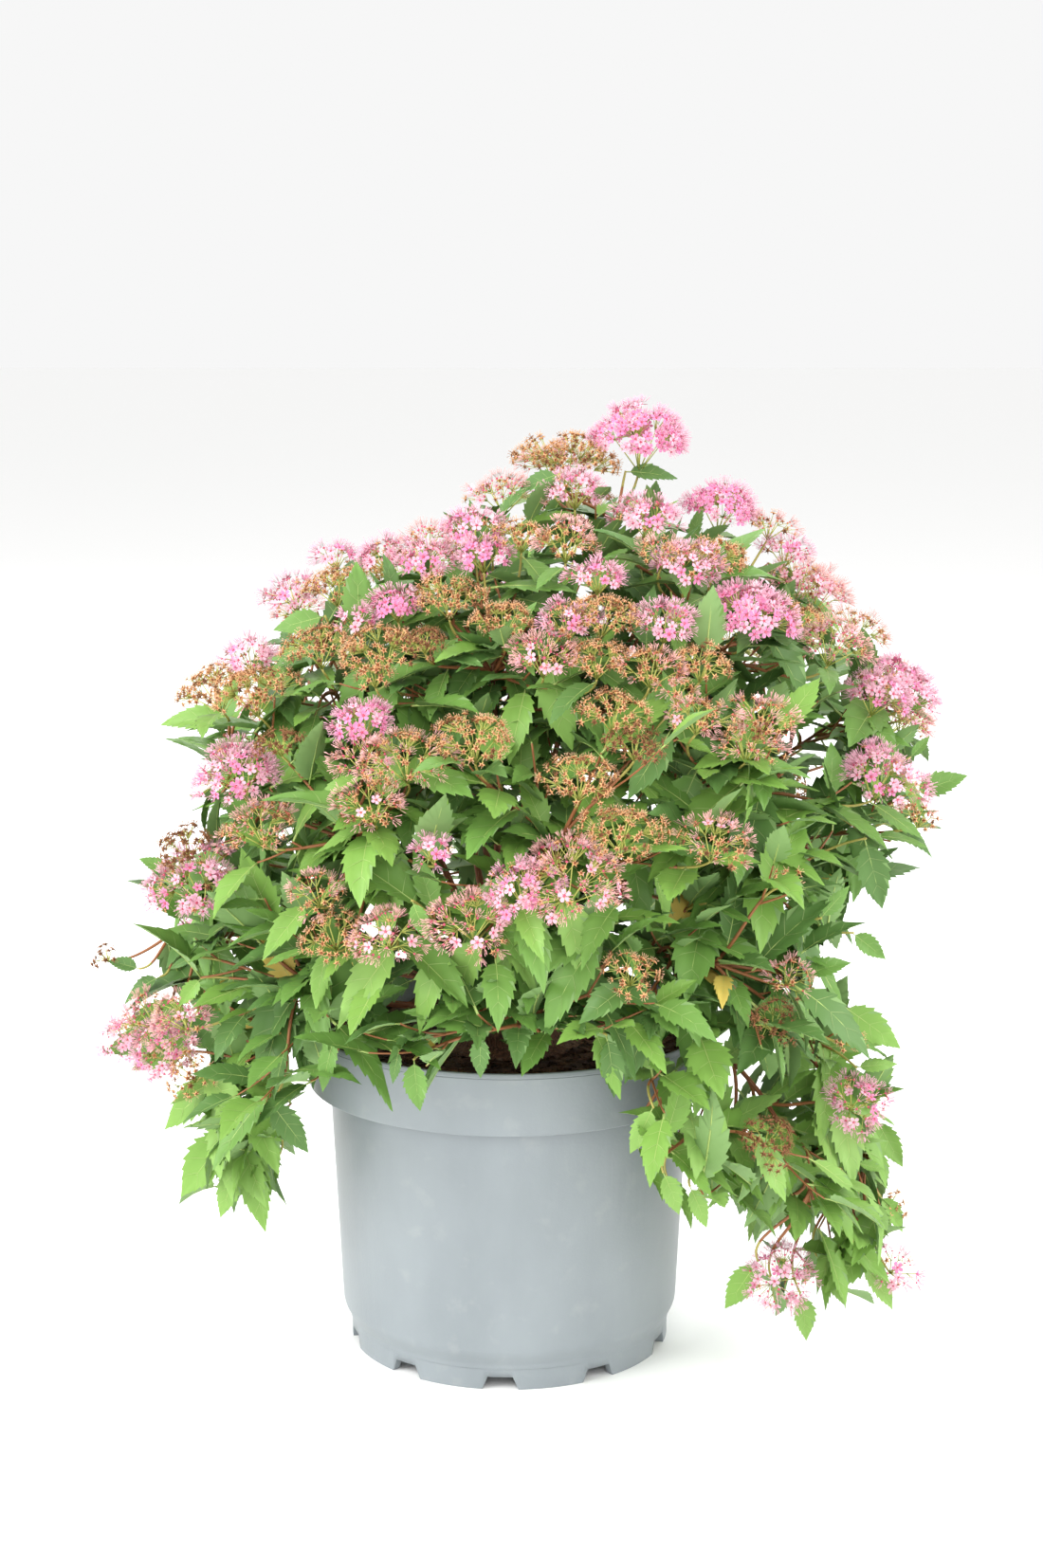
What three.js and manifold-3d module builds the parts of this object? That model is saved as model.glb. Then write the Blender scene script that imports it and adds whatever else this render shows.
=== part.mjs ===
// A dwarf Japanese spirea in a three-litre nursery pot: a low, many-stemmed flowering shrub in full leaf,
// with flat heads of blossom at the ends of its shoots. It is about 43 cm tall with its pot and 39 cm across.
// Millimetres, +Z up, -Y to the front. The origin is on the pot's axis, at the height of the ground.
//
// The pot is one turned plastic shell on ten feet, and the soil fills it. A short woody base stands on the
// soil. From it one tapering bough rises to each mass of foliage. A mass is one solid: a stem that carries
// on from its bough, shoots that branch from the stem by a seeded rule, leaves along the shoots and flower
// heads at their ends. Each mass keeps to its own cell: the cone of directions nearest to it, as seen from
// the heart of the shrub.
import * as THREE from "three";
import { mergeVertices } from "three/addons/utils/BufferGeometryUtils.js";
import Module from "manifold-3d";

const wasm = await Module();
wasm.setup();
const { Manifold, Mesh: SolidMesh } = wasm;

// ---------------------------------------------------------------- driving dimensions

const POT = {
  height: 152,
  rimRadius: 95, // outside of the rim at its top
  lipRadius: 92.8, // outside of the rim at its lower edge
  lipHeight: 123.5, // lower edge of the rim, which hangs a little below the shoulder
  shoulderHeight: 126,
  shoulderRadius: 83.2, // outside of the wall where it meets the shoulder
  stepHeight: 18, // the wall draws in below this height, to the foot ring
  stepRadius: 77.8,
  footRadius: 74,
  footHeight: 12,
  footWidth: 4,
  footTaper: 0.6, // how much wider the foot ring is at its top than at the ground
  floorHeight: 8,
  wall: 1.7,
  bevel: 1.1, // the rim's rounded edge
  feet: 10,
  notchHeight: 6,
  notchAngle: 10, // degrees of the foot ring that each notch takes
  firstNotch: -56, // bearing of one notch, in degrees from +X towards +Y
  sides: 32,
};
const SOIL = { surface: 139.5, edge: 137.5, lump: 1.1, flatRadius: 38, moundRadii: [60, 80] };
const BASE = { flareRadius: 33, flareHeight: 5, radius: 25, height: 22, flatCut: 139.8, sides: 12 };
const HEART = new THREE.Vector3(0, 0, 182); // the middle of the shrub, where all the cells meet
const SPREAD = [199, 179, 437]; // the furthest that any leaf reaches to the side, to the front and up
const CLEARANCE = 0.3; // left between solids that meet

// Limbs. Each pair is the least and the most of what the seeded rule may give. A share runs from root to tip.
const LIMB_PULL = 0.48; // how far the ends of a limb keep their own directions, as a share of its length
const LIMB_SEAT = 0.8; // how far out in the woody base a limb starts, as a share of the base's radius
const BOUGH = { footRadius: 2.6, entryRadius: 2, sides: 4, steps: 3 };
const STEM = { rootRadius: 2.6, tipRadius: 1.8, steps: 3, leaves: 5 };
const SHOOT = {
  rootRadius: 1.25,
  tipRadius: 1.15,
  steps: 2,
  leaves: 4,
  rootShare: [0.06, 0.8], // where on the stem it starts
  apart: [0.17, 0.26], // radians between its tip and the stem's tip, seen from the heart
  reach: [0.86, 1.02], // its tip's distance from the heart, as a share of the stem tip's
  bend: 0.45, // where it stops keeping the stem's direction, as a share of its length
};
const TWIG_SIDES = 3;
const LEAF = {
  length: 42,
  width: 20,
  fold: 3, // how far its sides hang below its midrib
  widest: 0.36, // share of its length where it is widest
  sunk: 0.5, // how far its root lies beyond its twig's axis
  size: [0.85, 1.1],
  rootShare: [0.2, 0.9], // where on its twig it starts
  droop: [0.05, 0.6],
  tries: 9, // turns round its twig that are tried for one that is clear
  tryTurn: 0.7, // radians from one try to the next
  smallFrom: 6, // from this try on it is smaller
  small: 0.75,
};
const HEAD = { radii: [8, 19, 10], depth: 11, sides: 5, seat: 0.1, sizes: [1.1, 1, 0.85, 0.7] };
const SEED = 20260;

// Each tier of masses: the angles above level at which its limbs leave the base and reach their tips, how far
// round the base their feet lie from their bearings, the part of a limb that is bare bough, how many shoots
// branch from each stem, and how many of them carry a flower head.
// Each mass: its tip's bearing in degrees from +X towards +Y, its distance from the pot's axis, its height.
const TIERS = [
  { leave: 84, arrive: 78, twist: 30, bare: 0.46, shoots: 4, heads: 3, masses: {
    top_right: [-15, 58, 418], top_left: [128, 28, 394] } },
  { leave: 72, arrive: 60, twist: 10, bare: 0.42, shoots: 4, heads: 3, masses: {
    upper_front: [-95, 92, 350], upper_right: [-25, 118, 370], upper_back_right: [48, 112, 362],
    upper_back: [120, 112, 352], upper_left: [192, 108, 352] } },
  { leave: 56, arrive: 34, twist: -8, bare: 0.36, shoots: 4, heads: 2, masses: {
    middle_front: [-80, 156, 280], middle_front_right: [-36, 166, 296], middle_right: [8, 182, 306],
    middle_back_right: [56, 164, 286], middle_back: [102, 160, 284], middle_back_left: [148, 160, 290],
    middle_left: [194, 152, 304], middle_front_left: [-122, 148, 274] } },
  { leave: 40, arrive: 2, twist: 4, bare: 0.36, shoots: 4, heads: 2, masses: {
    lower_front: [-88, 152, 184], lower_front_right: [-50, 158, 204], lower_right: [4, 184, 238],
    lower_back_right: [46, 174, 204], lower_back: [92, 170, 204], lower_back_left: [142, 170, 204],
    lower_left: [184, 178, 196], lower_front_left: [-134, 154, 190] } },
  { leave: 28, arrive: -74, twist: 0, bare: 0.5, shoots: 3, heads: 1, masses: {
    trailing_right: [-12, 176, 74], trailing_front_right: [-32, 164, 70], trailing_front: [-52, 144, 96],
    trailing_left: [-158, 140, 108] } },
];

// ---------------------------------------------------------------- shared helpers

const UP = new THREE.Vector3(0, 0, 1);
const EAST = new THREE.Vector3(1, 0, 0);
const { degToRad, lerp } = THREE.MathUtils;
const GOLDEN_ANGLE = degToRad(137.5);
const GOLDEN_SHARE = 0.618034;
const FULL_TURN = 2 * Math.PI;

/** A repeatable number from 0 to 1 for some whole numbers, whatever the order of calls. */
function chance(...keys) {
  let hash = SEED;
  for (const key of keys) {
    hash = Math.imul(hash ^ (key + 0x9e3779b9), 0x85ebca6b);
    hash ^= hash >>> 13;
    hash = Math.imul(hash, 0xc2b2ae35);
    hash ^= hash >>> 16;
  }
  return (hash >>> 0) / 4294967296;
}

/** The value that lies at a share of the way from low to high. */
function between([low, high], share) {
  return lerp(low, high, share);
}

/** The direction at a bearing and an angle above level. */
function heading(bearing, angle) {
  const b = degToRad(bearing);
  const a = degToRad(angle);
  return new THREE.Vector3(Math.cos(b) * Math.cos(a), Math.sin(b) * Math.cos(a), Math.sin(a));
}

/** A sum of vectors, each times its own share, made one unit long. */
function blend(...pairs) {
  const sum = new THREE.Vector3();
  for (const [vector, share] of pairs) sum.addScaledVector(vector, share);
  return sum.normalize();
}

/** Two unit vectors square to a direction: one as near as can be to a given one, and one square to that. */
function frameNear(direction, near) {
  const first = near.clone().addScaledVector(direction, -near.dot(direction)).normalize();
  return [first, new THREE.Vector3().crossVectors(first, direction)];
}

/** Two unit vectors square to a direction, the first of them level. */
function frameOf(direction) {
  const level = new THREE.Vector3().crossVectors(direction, UP);
  return frameNear(direction, level.lengthSq() > 1e-6 ? level : EAST);
}

/** A manifold solid from a closed three.js geometry. */
function solidFrom(geometry) {
  const bare = geometry.clone();
  for (const name of Object.keys(bare.attributes)) if (name !== "position") bare.deleteAttribute(name);
  const merged = mergeVertices(bare, 1e-4);
  return new Manifold(
    new SolidMesh({
      numProp: 3,
      vertProperties: merged.attributes.position.array,
      triVerts: new Uint32Array(merged.index.array),
    }),
  );
}

/** A three.js geometry from a manifold solid. */
function geometryFrom(solid) {
  const { vertProperties, triVerts } = solid.getMesh();
  const geometry = new THREE.BufferGeometry();
  geometry.setAttribute("position", new THREE.BufferAttribute(vertProperties, 3));
  geometry.setIndex(new THREE.BufferAttribute(triVerts, 1));
  geometry.computeVertexNormals();
  return geometry;
}

/** A solid turned about +Z from a profile of [radius, height] pairs. */
function turned(profile, sides) {
  const points = profile.map(([radius, height]) => new THREE.Vector2(radius, height));
  return solidFrom(new THREE.LatheGeometry(points, sides).rotateX(Math.PI / 2));
}

/** A solid from corner points and faces that list them, turning left as seen from outside. */
function facetted(corners, faces) {
  const geometry = new THREE.BufferGeometry();
  geometry.setAttribute("position", new THREE.Float32BufferAttribute(corners.flatMap((c) => c.toArray()), 3));
  geometry.setIndex(faces.flat());
  return solidFrom(geometry);
}

/** A tapering limb: a ring of corners at each step along a curve, from one share of its length to another. */
function limb(curve, from, to, radiusAt, sides, steps) {
  const corners = [];
  const faces = [];
  const [start] = frameOf(curve.getTangent(from));
  for (let step = 0; step <= steps; step += 1) {
    const share = lerp(from, to, step / steps);
    const centre = curve.getPoint(share);
    const [level, across] = frameNear(curve.getTangent(share), start);
    for (let side = 0; side < sides; side += 1) {
      const turn = (FULL_TURN * side) / sides;
      const spoke = blend([level, Math.cos(turn)], [across, Math.sin(turn)]);
      corners.push(centre.clone().addScaledVector(spoke, radiusAt(share)));
      const next = (side + 1) % sides;
      const here = step * sides;
      if (step < steps) faces.push([here + side, here + sides + side, here + sides + next]);
      if (step < steps) faces.push([here + side, here + sides + next, here + next]);
    }
  }
  const top = steps * sides;
  for (let side = 1; side < sides - 1; side += 1) {
    faces.push([0, side, side + 1]);
    faces.push([top, top + side + 1, top + side]);
  }
  return facetted(corners, faces);
}

/** True where two solids share any space. */
function meet(a, b) {
  const p = a.boundingBox();
  const q = b.boundingBox();
  const apart = [0, 1, 2].some((axis) => p.min[axis] > q.max[axis] || q.min[axis] > p.max[axis]);
  return !apart && a.intersect(b).volume() > 0;
}

// ---------------------------------------------------------------- pot and soil

/** The radius of the pot's wall, outside, at a height between the step and the shoulder. */
function wallRadius(height) {
  const share = (height - POT.stepHeight) / (POT.shoulderHeight - POT.stepHeight);
  return lerp(POT.stepRadius, POT.shoulderRadius, share);
}

/** The shell: foot ring, step, tapering wall, shoulder and rim, with notches cut through the foot ring. */
function potSolid() {
  const { wall, height, rimRadius, lipRadius, lipHeight, shoulderHeight } = POT;
  const { footRadius, footWidth, floorHeight } = POT;
  const innerShoulder = shoulderHeight + wall;
  const shell = turned(
    [
      [0, floorHeight],
      [footRadius - footWidth, floorHeight],
      [footRadius - footWidth, 0],
      [footRadius, 0],
      [footRadius + POT.footTaper, POT.footHeight],
      [POT.stepRadius, POT.stepHeight],
      [POT.shoulderRadius, shoulderHeight],
      [lipRadius - wall, shoulderHeight],
      [lipRadius - wall, lipHeight],
      [lipRadius, lipHeight],
      [rimRadius, height - POT.bevel],
      [rimRadius - POT.bevel, height],
      [rimRadius - wall, height],
      [lipRadius - wall, innerShoulder],
      [wallRadius(innerShoulder) - wall, innerShoulder],
      [POT.stepRadius - wall, POT.stepHeight],
      [footRadius - wall, floorHeight + wall],
      [0, floorHeight + wall],
    ],
    POT.sides,
  );
  const notchWidth = 2 * footRadius * Math.tan(degToRad(POT.notchAngle / 2));
  const notches = Array.from({ length: POT.feet }, (_, i) => {
    const box = new THREE.BoxGeometry(footWidth * 4, notchWidth, POT.notchHeight * 2);
    box.translate(footRadius, 0, 0);
    box.rotateZ(degToRad(POT.firstNotch + (i * 360) / POT.feet));
    return solidFrom(box);
  });
  return shell.subtract(Manifold.union(notches));
}

/** The root ball fills the pot, 0.3 mm clear. Its top is flat under the woody base and lumpy further out. */
function soilSolid() {
  const { wall, shoulderHeight, stepRadius, lipRadius } = POT;
  const ledge = shoulderHeight + wall + CLEARANCE;
  const skin = wall + CLEARANCE;
  const [innerMound, outerMound] = SOIL.moundRadii;
  const profile = [
    [0, POT.floorHeight + skin],
    [POT.footRadius - skin, POT.floorHeight + skin],
    [stepRadius - skin, POT.stepHeight],
    [wallRadius(shoulderHeight) - skin, ledge],
    [lipRadius - skin, ledge],
    [lipRadius - skin, SOIL.edge],
    [outerMound, SOIL.surface],
    [innerMound, SOIL.surface],
    [SOIL.flatRadius, SOIL.surface],
    [0, SOIL.surface],
  ];
  const sides = POT.sides / 2; // its corners lie in every other corner of the pot
  const points = profile.map(([radius, height]) => new THREE.Vector2(radius, height));
  const geometry = new THREE.LatheGeometry(points, sides).rotateX(Math.PI / 2);
  const position = geometry.attributes.position;
  for (let i = 0; i < position.count; i += 1) {
    const [radius] = profile[i % profile.length];
    const side = Math.floor(i / profile.length) % sides;
    const lump = SOIL.lump * between([-1, 1], chance(radius, side));
    if (SOIL.moundRadii.includes(radius)) position.setZ(i, SOIL.surface + lump);
  }
  return solidFrom(geometry);
}

// ---------------------------------------------------------------- woody base and boughs

/** The short woody base, with a root flare down to a flat cut at the soil, and grown outwards by a margin. */
function baseSolid(margin = 0) {
  const { flareRadius, flareHeight, radius, height, flatCut, sides } = BASE;
  const dome = [0, 30, 60].map((angle) => [
    (radius + margin) * Math.cos(degToRad(angle)),
    flatCut + flareHeight + (height - flareHeight + margin) * Math.sin(degToRad(angle)),
  ]);
  const foot = [[0, flatCut - margin], [flareRadius + margin, flatCut - margin]];
  return turned([...foot, ...dome, [0, flatCut + height + margin]], sides);
}

/** The curve of a whole limb, from inside the woody base to the tip of its mass. */
function limbCurve([bearing, spread, height], { leave, arrive, twist }) {
  const foot = heading(bearing + twist, leave).multiplyScalar(BASE.radius * LIMB_SEAT);
  foot.z += BASE.flatCut;
  const tip = heading(bearing, 0).multiplyScalar(spread).setZ(height);
  const pull = LIMB_PULL * foot.distanceTo(tip);
  const rise = foot.clone().addScaledVector(heading(bearing, leave), pull);
  const fall = tip.clone().addScaledVector(heading(bearing, arrive), -pull);
  return new THREE.CubicBezierCurve3(foot, rise, fall, tip);
}

const masses = TIERS.flatMap((tier) =>
  Object.entries(tier.masses).map(([name, place]) => ({ name, tier, curve: limbCurve(place, tier) })),
);
masses.forEach((mass, number) => {
  const tip = mass.curve.getPoint(1).sub(HEART);
  mass.number = number;
  mass.reach = tip.length();
  mass.toward = tip.normalize();
});

const baseSeat = baseSolid(CLEARANCE);

/** A bough, from its seat on the woody base to the root of its mass, grown outwards by a margin. */
function boughSolid({ curve, tier }, margin = 0) {
  const radiusAt = (share) => lerp(BOUGH.footRadius, BOUGH.entryRadius, share / tier.bare) + margin;
  return limb(curve, 0, tier.bare, radiusAt, BOUGH.sides, BOUGH.steps).subtract(baseSeat);
}

// ---------------------------------------------------------------- masses of foliage

/** A twig: a curve from one share to another in straight steps, with a radius at its root and at its tip. */
function twigOn(curve, from, to, { rootRadius, tipRadius, steps }) {
  const radiusAt = (share) => lerp(rootRadius, tipRadius, (share - from) / (to - from));
  return { curve, from, to, steps, solid: limb(curve, from, to, radiusAt, TWIG_SIDES, steps) };
}

/** The point on a twig's axis, and the way it runs there, at a share of the twig. */
function alongTwig({ curve, from, to, steps }, share) {
  const step = Math.min(Math.floor(share * steps), steps - 1);
  const start = curve.getPoint(lerp(from, to, step / steps));
  const end = curve.getPoint(lerp(from, to, (step + 1) / steps));
  const point = start.clone().lerp(end, share * steps - step);
  return { point, forward: end.sub(start).normalize() };
}

/** The stem of a mass, which carries on from its bough across a small gap. */
function stemOf({ curve, tier }) {
  const speed = curve.getPoint(tier.bare).distanceTo(curve.getPoint(tier.bare + 0.01)) / 0.01;
  return twigOn(curve, tier.bare + (CLEARANCE + 0.05) / speed, 1, STEM);
}

/** Shoot j of a mass: it leaves its stem by the golden angle and reaches the crown's face near its tip. */
function shootOf({ number, reach, toward }, stem, j) {
  const rootShare = between(SHOOT.rootShare, (j * GOLDEN_SHARE + chance(number, 1)) % 1);
  const { point, forward } = alongTwig(stem, rootShare);
  const turn = j * GOLDEN_ANGLE + FULL_TURN * chance(number, 2);
  const [level, across] = frameOf(toward);
  const aside = blend([level, Math.cos(turn)], [across, Math.sin(turn)]);
  const apart = between(SHOOT.apart, chance(number, j, 3));
  const end = blend([toward, Math.cos(apart)], [aside, Math.sin(apart)]);
  end.multiplyScalar(reach * between(SHOOT.reach, chance(number, j, 4))).add(HEART);
  const pull = SHOOT.bend * point.distanceTo(end);
  const bend = point.clone().addScaledVector(blend([forward, 4], [aside, 3]), pull);
  return twigOn(new THREE.QuadraticBezierCurve3(point, bend, end), 0, 1, SHOOT);
}

/** A leaf folded along its midrib: four faces, two above and two below. Its root lies inside its twig. */
function leafSolid(root, axis, light, length) {
  const normal = light.clone().addScaledVector(axis, -light.dot(axis)).normalize();
  const side = new THREE.Vector3().crossVectors(normal, axis);
  const at = (along, aside, above) =>
    root.clone().addScaledVector(axis, along).addScaledVector(side, aside).addScaledVector(normal, above);
  const halfWidth = (length * LEAF.width) / LEAF.length / 2;
  const widest = length * LEAF.widest;
  const corners = [
    at(-LEAF.sunk, 0, 0),
    at(length, 0, 0),
    at(widest, halfWidth, -LEAF.fold),
    at(widest, -halfWidth, -LEAF.fold),
  ];
  return facetted(corners, [[0, 1, 2], [0, 3, 1], [0, 2, 3], [1, 3, 2]]);
}

/** Try t at leaf k of a twig: it leaves by the golden angle, hangs a little, and faces up and outwards. */
function leafOn(twig, share, keys, k, t) {
  const { point, forward } = alongTwig(twig, share);
  const turn = k * GOLDEN_ANGLE + t * LEAF.tryTurn + FULL_TURN * chance(...keys, 6);
  const [level, across] = frameOf(forward);
  const aside = blend([level, Math.cos(turn)], [across, Math.sin(turn)]);
  const droop = between(LEAF.droop, chance(...keys, k, 7));
  const axis = blend([aside, 0.85], [forward, 0.5], [UP, -droop]);
  const outwards = point.clone().sub(HEART).normalize();
  const full = LEAF.length * between(LEAF.size, chance(...keys, k, 8));
  const length = full * (t < LEAF.smallFrom ? 1 : LEAF.small);
  return leafSolid(point, axis, blend([UP, 0.5], [outwards, 0.85]), length);
}

/** A flower head on the end of a twig: narrow and flat below, widest in the middle, and flat-domed on top. */
function headOn(twig, size) {
  const { point, forward } = alongTwig(twig, 1);
  const rise = blend([forward, 0.5], [UP, 0.65]).multiplyScalar(HEAD.depth * size);
  const seat = point.clone().addScaledVector(rise, -HEAD.seat);
  const spine = new THREE.LineCurve3(seat, point.clone().add(rise));
  return limb(spine, 0, 1, (share) => size * HEAD.radii[Math.round(2 * share)], HEAD.sides, 2);
}

/** True where a point is in a mass's own cell, clear of the flat walls between it and its neighbours. */
function inCell(point, mass) {
  if (point.toArray().some((value, axis) => Math.abs(value) > SPREAD[axis])) return false;
  const ray = point.clone().sub(HEART);
  return masses.every((other) => {
    if (other === mass) return true;
    const wall = mass.toward.clone().sub(other.toward).normalize();
    return ray.dot(wall) > CLEARANCE;
  });
}

/** True where a solid is in a mass's cell, and clear of the limbs, the pot and what is in place already. */
function fits(solid, mass, placed) {
  const { vertProperties } = solid.getMesh();
  for (let i = 0; i < vertProperties.length; i += 3) {
    if (!inCell(new THREE.Vector3(...vertProperties.subarray(i, i + 3)), mass)) return false;
  }
  return ![obstacles, ...placed].some((other) => meet(solid, other));
}

/** The shoots of a mass that fit clear of each other. */
function shootsOf(mass, stem) {
  const { shoots } = mass.tier;
  const chosen = [];
  for (let j = 0; chosen.length < shoots && j < 4 * shoots; j += 1) {
    const shoot = shootOf(mass, stem, j);
    if (fits(shoot.solid, mass, chosen.map((other) => other.solid))) chosen.push(shoot);
  }
  return chosen;
}

/** One mass: its stem and shoots, and the flower heads and leaves that fit on them. */
function massSolid(mass) {
  const stem = stemOf(mass);
  const twigs = [stem, ...shootsOf(mass, stem)];
  const placed = [];
  const firstThatFits = (twig, solids) => {
    const others = twigs.filter((other) => other !== twig).map((other) => other.solid);
    const chosen = solids.find((solid) => fits(solid, mass, [...others, ...placed]));
    if (chosen) placed.push(chosen);
  };
  for (const twig of twigs.slice(0, mass.tier.heads + 1)) {
    firstThatFits(twig, HEAD.sizes.map((size) => headOn(twig, size)));
  }
  twigs.forEach((twig, j) => {
    const leaves = twig === stem ? STEM.leaves : SHOOT.leaves;
    for (let k = 0; k < leaves; k += 1) {
      const share = between(LEAF.rootShare, k / (leaves - 1));
      const leafAt = (_, t) => leafOn(twig, share, [mass.number, j], k, t);
      firstThatFits(twig, Array.from({ length: LEAF.tries }, leafAt));
    }
  });
  const fused = Manifold.union([...twigs.map((twig) => twig.solid), ...placed]);
  return fused.decompose().reduce((largest, body) => (body.volume() > largest.volume() ? body : largest));
}

// ---------------------------------------------------------------- assembly

const plasticGrey = { color: 0x9ea4a8, roughness: 0.45, metalness: 0 };
const peatBrown = { color: 0x2e211b, roughness: 0.95, metalness: 0 };
const barkBrown = { color: 0x6e4430, roughness: 0.8, metalness: 0 };
const leafGreen = { color: 0x4d8a3c, roughness: 0.6, metalness: 0 };

const plant = new THREE.Group();

function addNode(name, solid, finish) {
  const mesh = new THREE.Mesh(geometryFrom(solid), new THREE.MeshStandardMaterial(finish));
  mesh.name = name;
  plant.add(mesh);
}

const pot = potSolid();
const soil = soilSolid();
const obstacles = Manifold.union([pot, soil, ...masses.map((mass) => boughSolid(mass, CLEARANCE))]);
addNode("pot", pot, plasticGrey);
addNode("soil", soil, peatBrown);
addNode("woody_base", baseSolid(), barkBrown);
for (const mass of masses) addNode(`bough_${mass.name}`, boughSolid(mass), barkBrown);
for (const mass of masses) addNode(`foliage_${mass.name}`, massSolid(mass), leafGreen);

export default plant;
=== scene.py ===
import bpy
import numpy as np
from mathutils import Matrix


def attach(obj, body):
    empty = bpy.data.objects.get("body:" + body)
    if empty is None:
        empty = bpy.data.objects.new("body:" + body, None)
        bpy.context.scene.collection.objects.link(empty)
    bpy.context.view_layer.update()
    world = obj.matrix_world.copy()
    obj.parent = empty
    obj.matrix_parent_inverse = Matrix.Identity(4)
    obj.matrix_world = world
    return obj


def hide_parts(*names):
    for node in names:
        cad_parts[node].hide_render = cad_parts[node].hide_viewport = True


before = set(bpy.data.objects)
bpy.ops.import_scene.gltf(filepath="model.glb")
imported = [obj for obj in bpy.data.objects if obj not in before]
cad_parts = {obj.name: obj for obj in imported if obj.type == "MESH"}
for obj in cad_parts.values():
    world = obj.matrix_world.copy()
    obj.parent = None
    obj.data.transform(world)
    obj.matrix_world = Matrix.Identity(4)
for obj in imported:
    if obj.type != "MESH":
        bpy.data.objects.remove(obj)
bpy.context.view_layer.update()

# ---------------------------------------------------------------- Studio
# The shrub stands on a pale painted floor in an evenly lit white room, among four large soft lamps. The
# camera stands a little over a metre in front of it, just higher than its crown, and looks slightly down.

PICTURE = np.array([1100, 1654])  # pixels, across and down
SENSOR, LENS = 36.0, 60.0  # millimetres; the sensor's width lies along the long side of the picture
EYE = np.array([0.0056, -1.170, 0.474])
TILT = np.radians(10.33)  # how far below level the camera looks
ROOM_LIGHT = 0.93  # strength of the light that comes evenly from all sides
LAMP_AIM = (0, 0, 0.2)
LAMPS = {  # place, side of the square and watts
    "lamp_left": ((-1.6, -0.8, 1.3), 1.6, 52),
    "lamp_right": ((1.9, -0.3, 1.2), 1.6, 37),
    "lamp_front": ((0.2, -2.2, 1.6), 2.0, 31),
    "lamp_back": ((0.3, 1.6, 1.9), 1.6, 26),
}
FLOOR_SIDE = 40.0  # metres


def paint(red, green, blue):
    """A colour for a shader from its red, green and blue out of 255, with the screen's gamma taken off."""
    shown = np.array([red, green, blue]) / 255
    linear = np.where(shown > 0.04045, ((shown + 0.055) / 1.055) ** 2.4, shown / 12.92)
    return (*linear, 1.0)


class Wire:
    """One output of a node, so that a sum of patterns is written as a plain sum."""

    def __init__(self, finish, socket):
        self.finish, self.socket = finish, socket

    def worked(self, operation, first, second):
        """Two values put through one operation of a Math node."""
        return self.finish.node("ShaderNodeMath", {"operation": operation}, {0: first, 1: second})

    def __add__(self, other):
        """This value plus another, or plus a number."""
        return self.worked("ADD", self, other)

    def __mul__(self, other):
        """This value times another, or times a number."""
        return self.worked("MULTIPLY", self, other)

    __radd__ = __add__
    __rmul__ = __mul__


class Finish:
    """A surface finish: a shader with its constant values, and the patterns that feed the rest of it."""

    def __init__(self, name, colour, roughness, **constants):
        self.material = bpy.data.materials.new(name)
        self.material.use_nodes = True
        self.tree = self.material.node_tree
        self.shader = self.tree.nodes["Principled BSDF"]
        plain = {key.replace("_", " "): value for key, value in constants.items()}
        self.put(self.shader, {"Base Color": colour, "Roughness": roughness, **plain})

    def put(self, node, sockets):
        """Fills a node's sockets: a link where the value is a wire, and a plain value otherwise."""
        for key, value in sockets.items():
            if isinstance(value, Wire):
                self.tree.links.new(value.socket, node.inputs[key])
            else:
                node.inputs[key].default_value = value

    def node(self, kind, settings, sockets, output=0):
        """Any node: its settings first, then the values and links of its sockets."""
        made = self.tree.nodes.new(kind)
        for key, value in settings.items():
            setattr(made, key, value)
        self.put(made, sockets)
        return Wire(self, made.outputs[output])

    def place(self, stretch=(1, 1, 1)):
        """The point on the surface, in metres, each axis times its own stretch."""
        at = self.node("ShaderNodeTexCoord", {}, {}, "Object")
        return self.node("ShaderNodeVectorMath", {"operation": "MULTIPLY"}, {0: at, 1: stretch})

    def noise(self, where, scale, detail=3.0):
        """Cloudy noise from 0 to 1, by how many clouds there are to a metre and how fine they break up."""
        return self.node("ShaderNodeTexNoise", {}, {"Vector": where, "Scale": scale, "Detail": detail})

    def between(self, share, low, high):
        """The share that a value lies at between two others, held to 0 and 1."""
        sockets = {"Value": share, "From Min": low, "From Max": high}
        return self.node("ShaderNodeMapRange", {"clamp": True}, sockets)

    def blend(self, share, first, second):
        """One colour where the share is 0 and another where it is 1."""
        return self.node("ShaderNodeMix", {"data_type": "RGBA"}, {0: share, 6: first, 7: second}, 2)

    def dents(self, height, depth):
        """Bump from a height pattern, with the depth of its full range in metres."""
        bump = self.node("ShaderNodeBump", {}, {"Height": height, "Distance": depth})
        self.put(self.shader, {"Normal": bump})


def add_mesh(name, points, parts, finishes, smooth=True):
    """An object from an array of points, and arrays of faces with the number of the finish of each."""
    mesh = bpy.data.meshes.new(name)
    corners = np.concatenate([faces.ravel() for faces, _ in parts])
    counts = np.concatenate([np.full(len(faces), faces.shape[1]) for faces, _ in parts])
    finish_of = np.concatenate([np.full(len(faces), finish) for faces, finish in parts])
    mesh.vertices.add(len(points))
    mesh.vertices.foreach_set("co", np.asarray(points, np.float32).ravel())
    mesh.loops.add(len(corners))
    mesh.loops.foreach_set("vertex_index", corners.astype(np.int32))
    mesh.polygons.add(len(counts))
    mesh.polygons.foreach_set("loop_start", (np.cumsum(counts) - counts).astype(np.int32))
    mesh.polygons.foreach_set("material_index", finish_of.astype(np.int32))
    mesh.polygons.foreach_set("use_smooth", np.full(len(counts), smooth))
    mesh.update(calc_edges=True)
    for finish in finishes:
        mesh.materials.append(finish.material)
    piece = bpy.data.objects.new(name, mesh)
    scene.collection.objects.link(piece)
    return piece


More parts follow.
